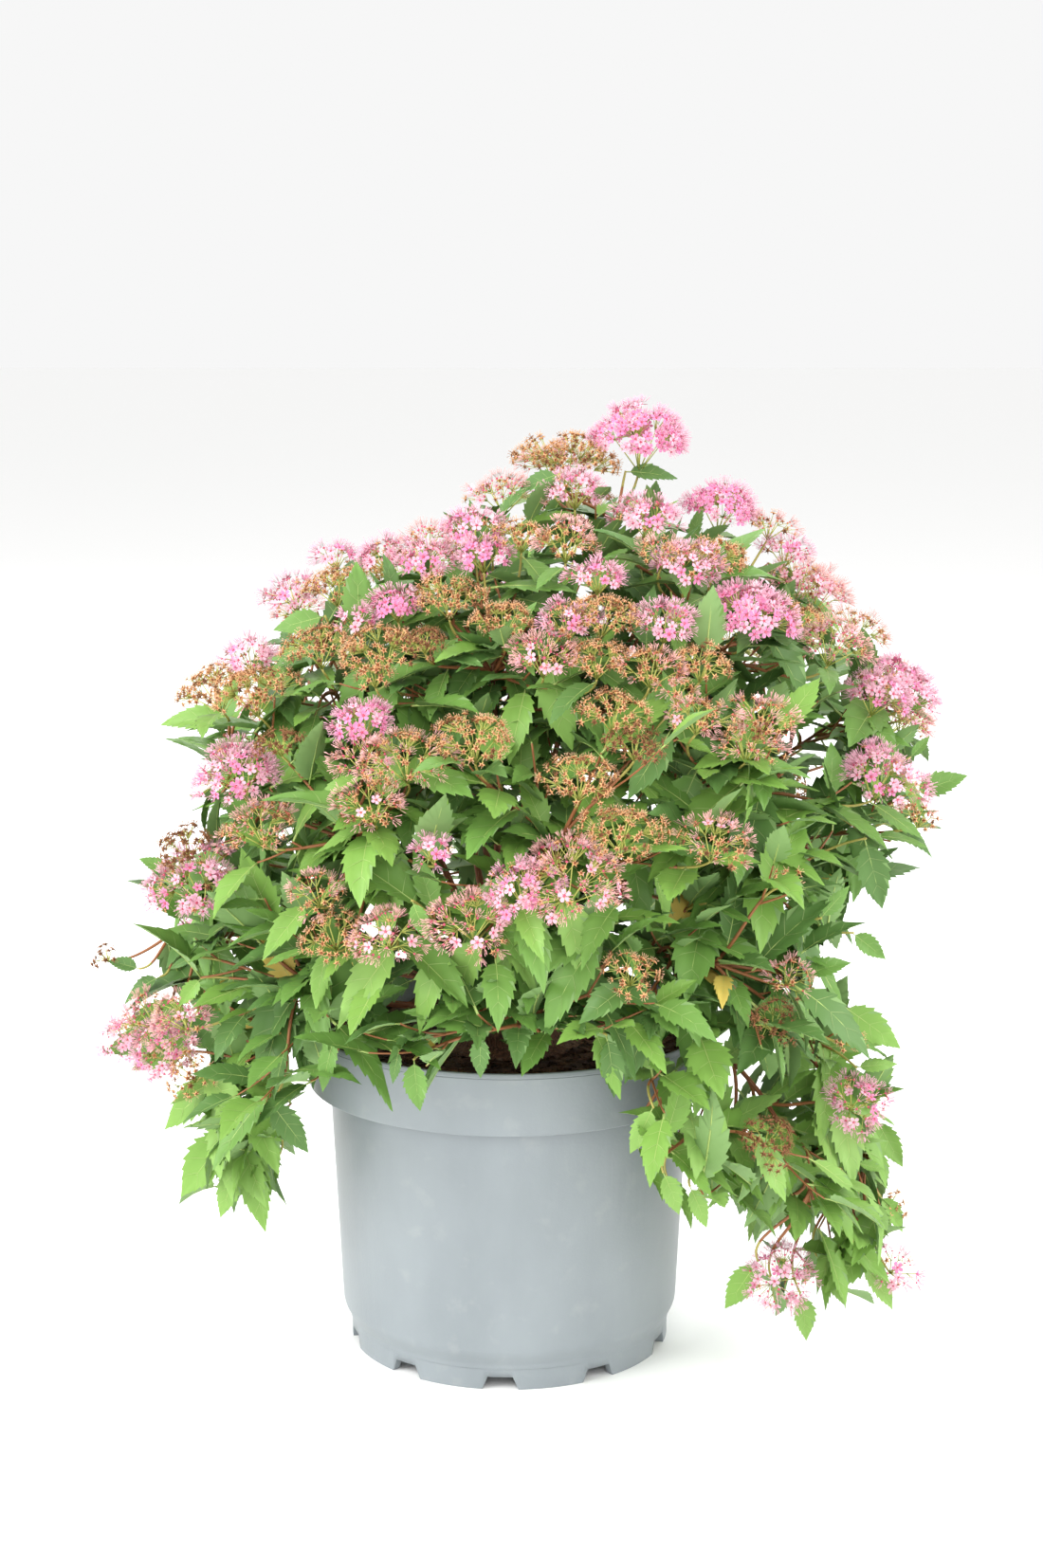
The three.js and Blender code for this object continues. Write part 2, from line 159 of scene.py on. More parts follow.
scene = bpy.context.scene
scene.view_settings.view_transform = "Standard"
camera = bpy.data.objects.new("camera", bpy.data.cameras.new("camera"))
camera.data.sensor_width = SENSOR
camera.data.lens = LENS
camera.location = EYE
camera.rotation_euler = (np.pi / 2 - TILT, 0, 0)
scene.collection.objects.link(camera)
scene.camera = camera

scene.world = bpy.data.worlds.new("room")
scene.world.use_nodes = True
room = scene.world.node_tree.nodes["Background"]
room.inputs["Color"].default_value = (1, 1, 1, 1)
room.inputs["Strength"].default_value = ROOM_LIGHT

for lamp_name, (place, side, watts) in LAMPS.items():
    lamp = bpy.data.objects.new(lamp_name, bpy.data.lights.new(lamp_name, "AREA"))
    lamp.data.size = side
    lamp.data.energy = watts
    lamp.location = place
    away = np.array(place) - np.array(LAMP_AIM)
    lamp.rotation_euler = (np.arctan2(np.hypot(*away[:2]), away[2]), 0, np.arctan2(away[0], -away[1]))
    scene.collection.objects.link(lamp)

floor_paint = Finish("floor_paint", paint(254, 254, 253), 0.7)
floor_corners = FLOOR_SIDE / 2 * np.array([[-1, -1, 0], [1, -1, 0], [1, 1, 0], [-1, 1, 0]])
floor = add_mesh("floor", floor_corners, [(np.array([[0, 1, 2, 3]]), 0)], [floor_paint])

# ---------------------------------------------------------------- Pot
# A three-litre nursery pot, moulded in one piece from satin grey plastic: a tapering wall under a deep
# stepped collar, and a foot ring drawn in below it that ten shallow drainage notches cut into feet.

POT_HEIGHT, FLOOR_HEIGHT, WALL = 0.152, 0.008, 0.0017
RIM, LIP, LIP_HEIGHT = 0.095, 0.0928, 0.1235  # outer radius of the collar at its top and at its lower edge
SHOULDER, SHOULDER_HEIGHT = 0.0832, 0.126  # where the wall meets the collar
STEP, STEP_HEIGHT = 0.0778, 0.018  # where the wall draws in to the foot ring
FOOT, FOOT_TOP, FOOT_HEIGHT, FOOT_WIDTH = 0.074, 0.0748, 0.012, 0.004
BAND_HEIGHT, BAND_LEDGE = 0.0098, 0.0005  # a fine ledge round the top of the feet
LINE_DEPTH, LINE = 0.0022, 0.0003  # a fine line pressed in round the rim, below its top
HUB, RIM_EASE, UNDERCUT, BAND_STEP = 0.002, 0.0003, 0.0004, 0.0002  # the smallest steps of the outline
FEET, NOTCH_HEIGHT, FIRST_NOTCH = 10, 0.006, -57.0  # and the first notch's bearing in degrees
NOTCH_ANGLES = [-6.3, -4.4, 4.4, 6.3]  # degrees from a notch's middle to its foot, head, head and foot
POT_SIDES, BEVEL_STEPS = 240, 5  # facets round the pot, and points on each rounded edge


def unit(vectors):
    """Each vector divided by its own length."""
    return vectors / np.linalg.norm(vectors, axis=-1, keepdims=True)


def rounded(corners, bends):
    """An outline with short parabolas for corners, from one bend's length before each to one after it."""
    before, after = np.roll(corners, 1, 0), np.roll(corners, -1, 0)
    start = corners + unit(before - corners) * bends[:, None]
    end = corners + unit(after - corners) * bends[:, None]
    t = np.linspace(0, 1, BEVEL_STEPS)[None, :, None]
    curve = (1 - t) ** 2 * start[:, None] + 2 * t * (1 - t) * corners[:, None] + t**2 * end[:, None]
    outline = curve.reshape(-1, 2)
    kept = np.linalg.norm(np.diff(outline, axis=0, prepend=outline[:1] - 1), axis=1) > 1e-7
    return outline[kept]


def grid_faces(rows, columns):
    """The four-cornered faces of a grid of points whose last column meets its first."""
    row, column = np.meshgrid(np.arange(rows - 1), np.arange(columns), indexing="ij")
    here = row * columns + column
    beside = row * columns + (column + 1) % columns
    return np.stack([here, here + columns, beside + columns, beside], -1).reshape(-1, 4)


def round_axis(radius, angle, height):
    """Points by their distance from the pot's axis, their bearing round it and their height."""
    return np.stack(np.broadcast_arrays(radius * np.cos(angle), radius * np.sin(angle), height), -1)


def turned(radius, height, angles):
    """A turned body: rings of radius and height at each angle, closed by a fan to the axis at both ends."""
    rings = round_axis(radius, angles, height)
    first, last = [0, 0, rings[0, :, 2].mean()], [0, 0, rings[-1, :, 2].mean()]
    points = np.concatenate([rings.reshape(-1, 3), [first, last]])
    walls = grid_faces(len(radius), len(angles))
    ring = np.arange(len(angles))
    beside = (ring + 1) % len(angles)
    top = np.stack([np.full_like(ring, len(points) - 2), ring, beside], -1)
    start = (len(radius) - 1) * len(angles)
    bottom = np.stack([np.full_like(ring, len(points) - 1), start + beside, start + ring], -1)
    return points, [(walls, 0), (top, 0), (bottom, 0)]


def wall_radius(height):
    """The outside of the tapering wall: a straight line from the step up to the shoulder."""
    return np.interp(height, [STEP_HEIGHT, SHOULDER_HEIGHT], [STEP, SHOULDER])


def mount(piece, slot, *nodes):
    """Fixes a piece to the one rigid body, in place of the solids it stands for. Its slot is not used."""
    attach(piece, "root")
    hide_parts(*nodes)


ledge = SHOULDER_HEIGHT + WALL
pot_outline = np.array([  # radius, height and bend of each corner, from inside the floor to its underside
    [HUB, FLOOR_HEIGHT + WALL, 0], [FOOT - WALL, FLOOR_HEIGHT + WALL, 0.002],
    [STEP - WALL, STEP_HEIGHT, 0.003], [wall_radius(ledge) - WALL, ledge, 0.001], [LIP - WALL, ledge, 0.0015],
    [RIM - WALL, POT_HEIGHT, 0.0006], [RIM - RIM_EASE, POT_HEIGHT, 0.0007],
    [RIM, POT_HEIGHT - LINE_DEPTH + LINE, 0.0001], [RIM - LINE, POT_HEIGHT - LINE_DEPTH, 0.0001],
    [RIM, POT_HEIGHT - LINE_DEPTH - LINE, 0.0001],
    [LIP, LIP_HEIGHT, 0.0007], [LIP - WALL, LIP_HEIGHT, 0.0005],
    [LIP - WALL - UNDERCUT, SHOULDER_HEIGHT, 0.0006],
    [SHOULDER, SHOULDER_HEIGHT, 0.0012], [STEP, STEP_HEIGHT, 0.0022], [FOOT_TOP, FOOT_HEIGHT, 0.0012],
    [FOOT + BAND_LEDGE, BAND_HEIGHT, 0.0001], [FOOT, BAND_HEIGHT - BAND_STEP, 0.0001],
    [FOOT, 0, 0.0005], [FOOT - FOOT_WIDTH, 0, 0.0005],
    [FOOT - FOOT_WIDTH, FLOOR_HEIGHT, 0.001], [HUB, FLOOR_HEIGHT, 0],
])
outline = rounded(pot_outline[:, :2], pot_outline[:, 2])
notches = FIRST_NOTCH + 360 / FEET * np.arange(FEET)
notch_edges = (notches[:, None] + NOTCH_ANGLES).ravel()
angles = np.unique(np.concatenate([np.arange(POT_SIDES) * 360 / POT_SIDES, notch_edges % 360]).round(3))
from_notch = np.abs((angles[:, None] - notches + 180) % 360 - 180).min(1)
lift = NOTCH_HEIGHT * np.interp(from_notch, NOTCH_ANGLES[2:], [1, 0])
lifted = np.where(outline[:, :1] > FOOT - FOOT_WIDTH - 1e-5, np.maximum(outline[:, 1:], lift), outline[:, 1:])
pot_points, pot_parts = turned(outline[:, :1], lifted, np.radians(angles))

plastic = Finish("satin_plastic", paint(136, 143, 147), 0.36, Specular_IOR_Level=0.42)
cloudy = plastic.noise(plastic.place((1, 1, 0.5)), 22, 4)
flow = plastic.noise(plastic.place((9, 9, 1)), 16, 2)
dust = plastic.between(plastic.noise(plastic.place(), 90, 5), 0.58, 0.8)
tone = plastic.blend(plastic.between(cloudy, 0.3, 0.7), paint(128, 135, 139), paint(141, 148, 152))
plastic.put(plastic.shader, {
    "Base Color": plastic.blend(dust * 0.25, tone, paint(170, 172, 170)),
    "Roughness": 0.33 + cloudy * 0.12 + dust * 0.12,
})
plastic.dents(plastic.noise(plastic.place(), 700, 2) * 0.5 + flow, 0.00012)
pot = add_mesh("nursery_pot", pot_points, pot_parts, [plastic])
mount(pot, "pot_plastic", "pot")

# ---------------------------------------------------------------- Soil
# The root ball: dark damp peat that fills the pot to just under its rim, with a litter of broken brown bark
# pieces lying loose on top of it.

SOIL_SKIN = 0.0003  # the gap between the root ball and the plastic
SOIL_SURFACE, SOIL_EDGE, SOIL_LUMPS = 0.1393, 0.1372, 0.0011
SOIL_SIDES = 160
MOUND, DIP_FROM = np.linspace(0.003, 0.0885, 46), 0.08  # radii of the rings on top, and where they dip
BARK_PIECES = 900
CHIP_SIZES = [(0.004, 0.013), (0.002, 0.005), (0.0008, 0.0016)]  # limits of length, width and thickness
CHIP_REACH, CHIP_DIP = 0.086, 0.079  # how far out bark pieces lie, and from where on they lie on the edge
CHIP_ABOVE_EDGE, CHIP_SUNK = 0.0012, 0.0002
CHIP_RAGGED, CHIP_LEAN = 0.5, 0.5  # the range of each corner's place in a piece's size, and of its tilt
GOLDEN_ANGLE, GOLDEN_SHARE = np.radians(137.5), 0.618034  # steps that spread things evenly
FULL_TURN = 2 * np.pi
SEED = 20260


def chance(*keys):
    """A repeatable number from 0 to 1 for whole numbers: two multiplications stir each into a hash."""
    low = np.uint64(0xFFFFFFFF)
    mixed = np.uint64(SEED)
    for key in keys:
        key = np.asarray(key).astype(np.uint64)
        mixed = ((mixed ^ ((key + np.uint64(0x9E3779B9)) & low)) * np.uint64(0x85EBCA6B)) & low
        mixed = mixed ^ (mixed >> np.uint64(13))
        mixed = (mixed * np.uint64(0xC2B2AE35)) & low
        mixed = mixed ^ (mixed >> np.uint64(16))
    return mixed / 2.0**32


def between(limits, share):
    """The value at a share of the way from the first limit to the second."""
    return limits[0] + (limits[1] - limits[0]) * share


def ripples(points, pitch, key):
    """Smooth lumps from -1 to 1: the mean of eight sine waves that run through space different ways."""
    wave = np.arange(8)
    ways = np.stack([chance(key, wave, axis) - 0.5 for axis in range(3)], -1)
    lengths = pitch * between([0.6, 1.6], chance(key, wave, 3))
    phases = points @ (unit(ways) * FULL_TURN / lengths[:, None]).T
    return np.sin(phases + FULL_TURN * chance(key, wave, 4)).mean(-1) * 2


around = np.arange(SOIL_SIDES) * FULL_TURN / SOIL_SIDES
side_radius = [*(np.array([LIP, LIP, wall_radius(SHOULDER_HEIGHT), STEP, FOOT]) - WALL - SOIL_SKIN), MOUND[0]]
side_height = [SOIL_EDGE, ledge + SOIL_SKIN, ledge + SOIL_SKIN, STEP_HEIGHT,
               FLOOR_HEIGHT + WALL + SOIL_SKIN, FLOOR_HEIGHT + WALL + SOIL_SKIN]
soil_radius = np.concatenate([MOUND, side_radius])[:, None]
soil_level = np.concatenate([np.where(MOUND > DIP_FROM, SOIL_EDGE, SOIL_SURFACE), side_height])[:, None]
soil_rings = round_axis(soil_radius, around, soil_level)
crumbs = ripples(soil_rings, 0.012, 51) * 0.6 + ripples(soil_rings, 0.0045, 52) * 0.4
is_top = np.arange(len(soil_radius))[:, None] < len(MOUND)
lumpy_level = soil_level + is_top * SOIL_LUMPS * np.clip(crumbs, -1, 1)
soil_points, soil_parts = turned(soil_radius, lumpy_level, around)

peat = Finish("damp_peat", paint(46, 33, 27), 0.95, Specular_IOR_Level=0.2)
crumb = peat.noise(peat.place(), 420, 6)
fibre = peat.noise(peat.place((3, 1, 1)), 260, 4)
brown = peat.blend(peat.between(crumb, 0.35, 0.68), paint(24, 17, 14), paint(84, 56, 40))
fibrous = peat.blend(peat.between(fibre, 0.55, 0.75), brown, paint(112, 78, 54))
peat.put(peat.shader, {"Base Color": fibrous})
peat.dents(crumb + fibre, 0.002)
soil = add_mesh("peat_soil", soil_points, soil_parts, [peat])
mount(soil, "soil", "soil")


def box_corners(length, width, thickness):
    """The eight corners of boxes about the origin, ordered by the sign of their height, width and length."""
    signs = np.array([[x, y, z] for z in (-1, 1) for y in (-1, 1) for x in (-1, 1)])
    return signs * np.stack([length, width, thickness], -1)[:, None] / 2


def turned_by(angles, first, second):
    """Two coordinates of each shape's points after a turn by its own angle, from first axis to second."""
    cosine, sine = np.cos(angles)[:, None], np.sin(angles)[:, None]
    return first * cosine - second * sine, first * sine + second * cosine


def copied(parts, count, points):
    """The faces of many copies of one shape, each numbered on by the shape's number of points."""
    offsets = (np.arange(count) * points)[:, None, None]
    return [((faces + offsets).reshape(-1, faces.shape[1]), finish) for faces, finish in parts]


BOX_FACES = np.array([[0, 2, 3, 1], [4, 5, 7, 6], [0, 1, 5, 4], [2, 6, 7, 3], [0, 4, 6, 2], [1, 3, 7, 5]])
chip = np.arange(BARK_PIECES)
chips = box_corners(*(between(limits, chance(60, chip, key)) for key, limits in enumerate(CHIP_SIZES)))
ragged = np.stack([chance(61, chip[:, None], np.arange(8), axis) for axis in range(3)], -1) - 0.5
chips = chips * (1 + CHIP_RAGGED * ragged)
yaw, lean = FULL_TURN * chance(62, chip), CHIP_LEAN * (chance(63, chip) - 0.5)
along, across, up = chips[..., 0], chips[..., 1], chips[..., 2]
tipped, raised = turned_by(lean, along, up)
chip_radius = CHIP_REACH * np.sqrt(between([0.1, 1], chance(64, chip)))
chip_level = np.where(chip_radius > CHIP_DIP, SOIL_EDGE + CHIP_ABOVE_EDGE, SOIL_SURFACE - CHIP_SUNK)
chip_middle = round_axis(chip_radius, chip * GOLDEN_ANGLE, chip_level)
chip_points = chip_middle[:, None] + np.stack([*turned_by(yaw, tipped, across), raised], -1)
chip_parts = copied([(BOX_FACES, 0)], BARK_PIECES, 8)

litter = Finish("bark_litter", paint(96, 62, 42), 0.85)
grain = litter.noise(litter.place(), 900, 4)
patch = litter.noise(litter.place(), 75, 2)
weathered = litter.blend(litter.between(patch, 0.35, 0.65), paint(58, 35, 25), paint(128, 84, 56))
streaked = litter.blend(litter.between(grain, 0.4, 0.7), weathered, paint(44, 28, 21))
litter.put(litter.shader, {"Base Color": streaked})
litter.dents(grain, 0.0006)
bark_pieces = add_mesh("bark_litter", chip_points.reshape(-1, 3), chip_parts, [litter], smooth=False)
mount(bark_pieces, "soil", "soil")

# ---------------------------------------------------------------- Woody base
# The old crown of the shrub: a low knuckle of wood that spreads into the peat, from which all the stems rise.
# It is covered with thin grey-brown bark.

BASE_RADIUS, BASE_HEIGHT, BASE_CUT = 0.025, 0.022, 0.1398  # the height stands on the flat cut
FLARE_RADIUS, FLARE_HEIGHT = 0.033, 0.005
BASE_SIDES, BASE_LUMPS = 72, 0.0012

rise = np.radians(np.linspace(88, 0, 26))
dome_level = BASE_CUT + FLARE_HEIGHT + (BASE_HEIGHT - FLARE_HEIGHT) * np.sin(rise)
flare = np.linspace(0, 1, 7)[1:]
flare_radius = BASE_RADIUS + (FLARE_RADIUS - BASE_RADIUS) * flare**2
base_radius = np.concatenate([BASE_RADIUS * np.cos(rise), flare_radius, [HUB]])[:, None]
base_level = np.concatenate([dome_level, BASE_CUT + FLARE_HEIGHT * (1 - flare), [BASE_CUT]])[:, None]
base_turn = np.arange(BASE_SIDES) * FULL_TURN / BASE_SIDES
base_rings = round_axis(base_radius, base_turn, base_level)
knuckles = ripples(base_rings, 0.014, 71) * 0.7 + ripples(base_rings, 0.005, 72) * 0.3
hollows = BASE_LUMPS * (1 - np.clip(knuckles, -1, 1)) * (base_level > BASE_CUT + 1e-6)
base_points, base_parts = turned(base_radius - hollows, base_level, base_turn)


def bark_finish(name, young, old, ridge):
    """Thin bark: long fibres of two browns, pale breathing pores and a loose grey skin, all raised."""
    finish = Finish(name, young, 0.72, Specular_IOR_Level=0.3)
    straight = finish.node("ShaderNodeAttribute", {"attribute_name": "grain"}, {}, "Vector")
    fibres = finish.noise(straight, 900, 4)
    peeling = finish.noise(straight, 260, 3)
    flecks = finish.between(finish.noise(straight, 1500, 1), 0.66, 0.72)
    wood = finish.blend(finish.between(fibres, 0.35, 0.65), young, old)
    wood = finish.blend(finish.between(peeling, 0.56, 0.7) * 0.55, wood, paint(150, 128, 112))
    finish.put(finish.shader, {"Base Color": finish.blend(flecks * 0.6, wood, paint(196, 158, 124))})
    finish.dents(fibres + flecks * 0.5 + peeling * 0.7, ridge)
    return finish


def add_grain(piece, vectors):
    """Keeps for each point where it lies on the straightened stem, round it and along it."""
    grain = piece.data.attributes.new("grain", "FLOAT_VECTOR", "POINT")
    grain.data.foreach_set("vector", vectors.astype(np.float32).ravel())


old_bark = bark_finish("old_bark", paint(118, 80, 58), paint(72, 48, 36), 0.0011)
woody_base = add_mesh("woody_base_bark", base_points, base_parts, [old_bark])
add_grain(woody_base, base_points * [1, 1, 0.2])
mount(woody_base, "bark", "woody_base")

# ---------------------------------------------------------------- Stems
# Twenty-seven woody stems, one to each mass of foliage. Each rises from the base, bends over as it nears the
# face of the crown and thins all the way. Its bark is red-brown and ridged, and swells where leaves stood.

HEART = np.array([0, 0, 0.182])  # the middle of the shrub, where the space of every mass begins
UP = np.array([0, 0, 1.0])
EAST = np.array([1.0, 0, 0])
LIMB_PULL = 0.48  # how far a limb holds to the angle at either end, as a share of its span
LIMB_SEAT = 0.8  # where its foot lies in the base, as a share of the base's radius
STEM_RADIUS = (0.0020, 0.0006)  # at the foot and at the tip
STEM_STEPS, STEM_SIDES = 110, 8
STEM_END = 0.9  # the share of a limb's curve at which its stem ends, among the shoots
STEM_THINNING = 0.8  # the power of the way along by which it thins
NODE_SPACING, NODE_WIDTH = 0.013, 0.09  # of the swellings at old leaves, the width in their spacing
NODE_SWELL, BARK_RIDGES = 0.28, 0.07  # how far swellings and ridges stand out, in the stem's radius
GRAIN_RADIUS, GRAIN_LENGTH = 0.002, 0.1  # of the straightened stem, the latter as a share of its real length

# The tiers from the top down: the angles at which limbs leave the base and arrive at their tips, the twist of
# their feet, their bare share, how many shoots a mass has and how widely they spread, how many heads, the
# size, droop and colours of leaves, and each mass's tip by its bearing, distance from the axis and height.
TIERS = [
    {"leave": 84, "arrive": 78, "twist": 30, "bare": 0.46, "shoots": 7, "spread": 1.0, "heads": 4,
     "leaf": 0.86, "droop": (0.0, 0.4), "tints": ["deep", "forest", "mid"], "masses": {
        "top_right": (-15, 0.058, 0.418), "top_left": (128, 0.028, 0.394)}},
    {"leave": 72, "arrive": 60, "twist": 10, "bare": 0.42, "shoots": 7, "spread": 1.0, "heads": 4,
     "leaf": 0.9, "droop": (0.0, 0.4), "tints": ["deep", "deep", "forest", "forest", "mid"], "masses": {
        "upper_front": (-95, 0.092, 0.350), "upper_right": (-25, 0.118, 0.370),
        "upper_back_right": (48, 0.112, 0.362), "upper_back": (120, 0.112, 0.352),
        "upper_left": (192, 0.108, 0.352)}},
    {"leave": 56, "arrive": 34, "twist": -8, "bare": 0.36, "shoots": 7, "spread": 1.0, "heads": 3,
     "leaf": 0.98, "droop": (0.0, 0.4), "tints": ["deep", "forest", "forest", "mid", "mid", "fresh"],
     "masses": {
        "middle_front": (-80, 0.156, 0.280), "middle_front_right": (-36, 0.166, 0.296),
        "middle_right": (8, 0.182, 0.306), "middle_back_right": (56, 0.164, 0.286),
        "middle_back": (102, 0.160, 0.284), "middle_back_left": (148, 0.160, 0.290),
        "middle_left": (194, 0.152, 0.304), "middle_front_left": (-122, 0.148, 0.274)}},
    {"leave": 40, "arrive": 2, "twist": 4, "bare": 0.36, "shoots": 7, "spread": 1.0, "heads": 3,
     "leaf": 1.04, "droop": (-0.3, 0.42), "tints": ["deep", "deep", "deep", "forest", "forest", "mid"],
     "masses": {
        "lower_front": (-88, 0.152, 0.184), "lower_front_right": (-50, 0.158, 0.204),
        "lower_right": (4, 0.184, 0.238), "lower_back_right": (46, 0.174, 0.204),
        "lower_back": (92, 0.170, 0.204), "lower_back_left": (142, 0.170, 0.204),
        "lower_left": (184, 0.178, 0.196), "lower_front_left": (-134, 0.154, 0.190)}},
    {"leave": 28, "arrive": -74, "twist": 0, "bare": 0.5, "shoots": 6, "spread": 0.8, "heads": 2,
     "leaf": 1.08, "droop": (-0.45, 0.65), "tints": ["mid", "mid", "fresh", "fresh", "lime"], "masses": {
        "trailing_right": (-12, 0.176, 0.074), "trailing_front_right": (-32, 0.164, 0.070),
        "trailing_front": (-52, 0.144, 0.096), "trailing_left": (-158, 0.140, 0.108)}},
]


def dot(a, b):
    """The product of two vectors' lengths and the cosine between them, for each pair."""
    return (a * b).sum(-1, keepdims=True)


def heading(bearing, angle):
    """The unit vector at a bearing from +X towards +Y and an angle above level, both in degrees."""
    b, a = np.radians(bearing), np.radians(angle)
    return np.array([np.cos(b) * np.cos(a), np.sin(b) * np.cos(a), np.sin(a)])


def blend(*pairs):
    """A sum of vectors, each times its own share, made one unit long."""
    return unit(sum(vector * share for vector, share in pairs))


def frame_near(direction, near):
    """Two unit vectors square to a direction: the one nearest to a given vector, and one square to that."""
    first = unit(near - direction * dot(near, direction))
    return first, np.cross(first, direction)


def frame_of(direction):
    """Two unit vectors square to a direction, the first level, or east where the direction is upright."""
    level = np.cross(direction, UP)
    return frame_near(direction, np.where(dot(level, level) > 1e-6, level, EAST))


def bezier(controls, share):
    """The point at a share of a smooth curve: its four controls weighted by the terms of (1 - t + t) ** 3."""
    order = np.arange(4)
    share = np.asarray(share)[..., None]
    weights = np.array([1, 3, 3, 1]) * share**order * (1 - share) ** (3 - order)
    return (weights[..., None] * controls).sum(-2)


def running(controls, share):
    """The unit vector along a curve at a share of it, from two points just either side."""
    share = np.clip(share, 0.001, 0.999)
    return unit(bezier(controls, share + 0.001) - bezier(controls, share - 0.001))


def curve_lengths(controls, shares):
    """The length of each curve: the distances from point to point at its shares, added up."""
    return np.linalg.norm(np.diff(bezier(controls[:, None], shares), axis=1), axis=2).sum(1)


def rings_along(controls, shares, radii, sides, relief=0):
    """Rings of points square to curves at each share, on spokes of a radius that relief lengthens."""
    middle = bezier(controls[:, None], shares)
    way = running(controls[:, None], shares)
    start, _ = frame_of(way[:, :1])
    level, across = frame_near(way, np.broadcast_to(start, way.shape))
    turn = (np.arange(sides) * FULL_TURN / sides)[:, None]
    spokes = level[:, :, None] * np.cos(turn) + across[:, :, None] * np.sin(turn)
    return middle[:, :, None] + spokes * (radii[..., None] * (1 + relief))[..., None]


def tube_parts(count, rows, sides):
    """The faces of many equal tubes: their walls, and a flat cap over each end."""
    start = np.arange(sides)[None]
    end = (rows - 1) * sides + start[:, ::-1]
    return copied([(grid_faces(rows, sides), 0), (start, 0), (end, 0)], count, rows * sides)


def limb_controls(bearing, spread, height, tier):
    """A limb's curve: from its seat in the base, out at one angle and in at another to its mass's tip."""
    seat = heading(bearing + tier["twist"], tier["leave"]) * BASE_RADIUS * LIMB_SEAT
    foot, tip = seat + UP * BASE_CUT, heading(bearing, 0) * spread + UP * height
    pull = LIMB_PULL * np.linalg.norm(tip - foot)
    leaving, arriving = heading(bearing, tier["leave"]) * pull, heading(bearing, tier["arrive"]) * pull
    return [foot, foot + leaving, tip - arriving, tip]


masses = [(name, tier, place) for tier in TIERS for name, place in tier["masses"].items()]
limbs = np.array([limb_controls(*place, tier) for _, tier, place in masses])
reach = np.linalg.norm(limbs[:, 3] - HEART, axis=1)
toward = unit(limbs[:, 3] - HEART)

shares = np.linspace(0, STEM_END, STEM_STEPS)
run = (curve_lengths(limbs, shares)[:, None] * shares)[..., None]  # how far along its stem each ring lies
radii = np.tile(between(STEM_RADIUS, shares**STEM_THINNING), (len(masses), 1))
turn = np.arange(STEM_SIDES) * FULL_TURN / STEM_SIDES
mass_number = np.arange(len(masses))[:, None, None]

# The bark's relief: three ridges wind round the stem one way and five the other, and at each node a bell of
# wood stands out most on its old leaf's side, which turns on by the golden angle.
ridges = np.sin(3 * turn + 40 * run) + np.sin(5 * turn - 95 * run + mass_number)
node = run / NODE_SPACING + chance(80, mass_number)
node_side = np.floor(node + 0.5) * GOLDEN_ANGLE
swell = np.exp(-(((node + 0.5) % 1 - 0.5) / NODE_WIDTH) ** 2) * (0.6 + 0.4 * np.cos(turn - node_side))
relief = BARK_RIDGES * 0.5 * ridges + NODE_SWELL * swell
stem_rings = rings_along(limbs, shares, radii, STEM_SIDES, relief)
stem_grain = round_axis(GRAIN_RADIUS, turn, GRAIN_LENGTH * run + mass_number)
stem_bark = bark_finish("stem_bark", paint(152, 94, 62), paint(112, 68, 48), 0.0005)
for number, (name, _, _) in enumerate(masses):
    stem_parts = tube_parts(1, STEM_STEPS, STEM_SIDES)
    stem = add_mesh(f"stem_{name}", stem_rings[number].reshape(-1, 3), stem_parts, [stem_bark])
    add_grain(stem, stem_grain[number])
    mount(stem, "bark", f"bough_{name}")

# ---------------------------------------------------------------- Shoots
# This year's growth. Shoots branch from the stems by the golden angle and reach the face of the crown, and
# short side twigs branch from them. This is where they run and what they bear. Their skin follows the leaves.

SPREAD = np.array([0.199, 0.179, 0.437])  # the furthest that anything reaches sideways, forwards and up
SHOOT_TRIES = 30  # how many places the rule tries for the shoots of each mass
ROOT_SHARE, APART = (0.06, 0.74), (0.12, 0.30)  # where shoots stand on a stem, and the angle they spread by
SHOOT_LEAVES, SHOOT_ARRIVES = 0.36, 0.34  # how far a shoot runs straight from its foot and to its end
REACH, LEAFY_REACH = (0.90, 1.02), (0.74, 0.92)  # of shoots with and without a head, in their mass's reach
PULLED_IN = np.array([[1], [0.84], [0.7]])  # shares of that reach, of which a shoot takes the first that fits
SHOOT_GAP = 0.016  # how near the ends of two shoots come
LIMB_PART = (0.3, STEM_END - 0.02)  # the part of a limb that shoots in view grow from
SHOOT_RADIUS = (0.00095, 0.0005)  # at the foot and at the tip
SIDE_TWIGS, SIDE_LENGTH, SIDE_RADIUS = 2, (0.018, 0.036), (0.00055, 0.00035)
SIDE_PART, SIDE_MARGIN = (0.35, 0.8), 0.004  # where side twigs stand on a shoot, and how far inside SPREAD
YOUNG_FROM = 0.72  # the share of a shoot from which it is green
SHELL_SHARPNESS = 14  # how much more the nearest masses than the others say where the crown's face lies
RAY_SHARE = 0.24  # how far the rays lift a flower head's dome above the shoot, as a share of the head's width
DOME = {  # height of a head's dome as a share of its width
    "bright": 0.42, "pink": 0.40, "soft": 0.38, "fading": 0.34, "spent": 0.34, "dried": 0.34}
SEEN_DOME = 0.8  # the share of its dome's height at which a head is seen
HIDDEN_HEAD = (0.022, 0.040)  # widths of the heads at the sides and back
FRONT_FROM = -0.12  # the rule's shoots bear heads only behind this cosine from the way to the camera
CELL_SLACK = 0.0003  # how far a point may pass the middle between two masses' directions
FRONT = np.array([0, -1.0, 0])

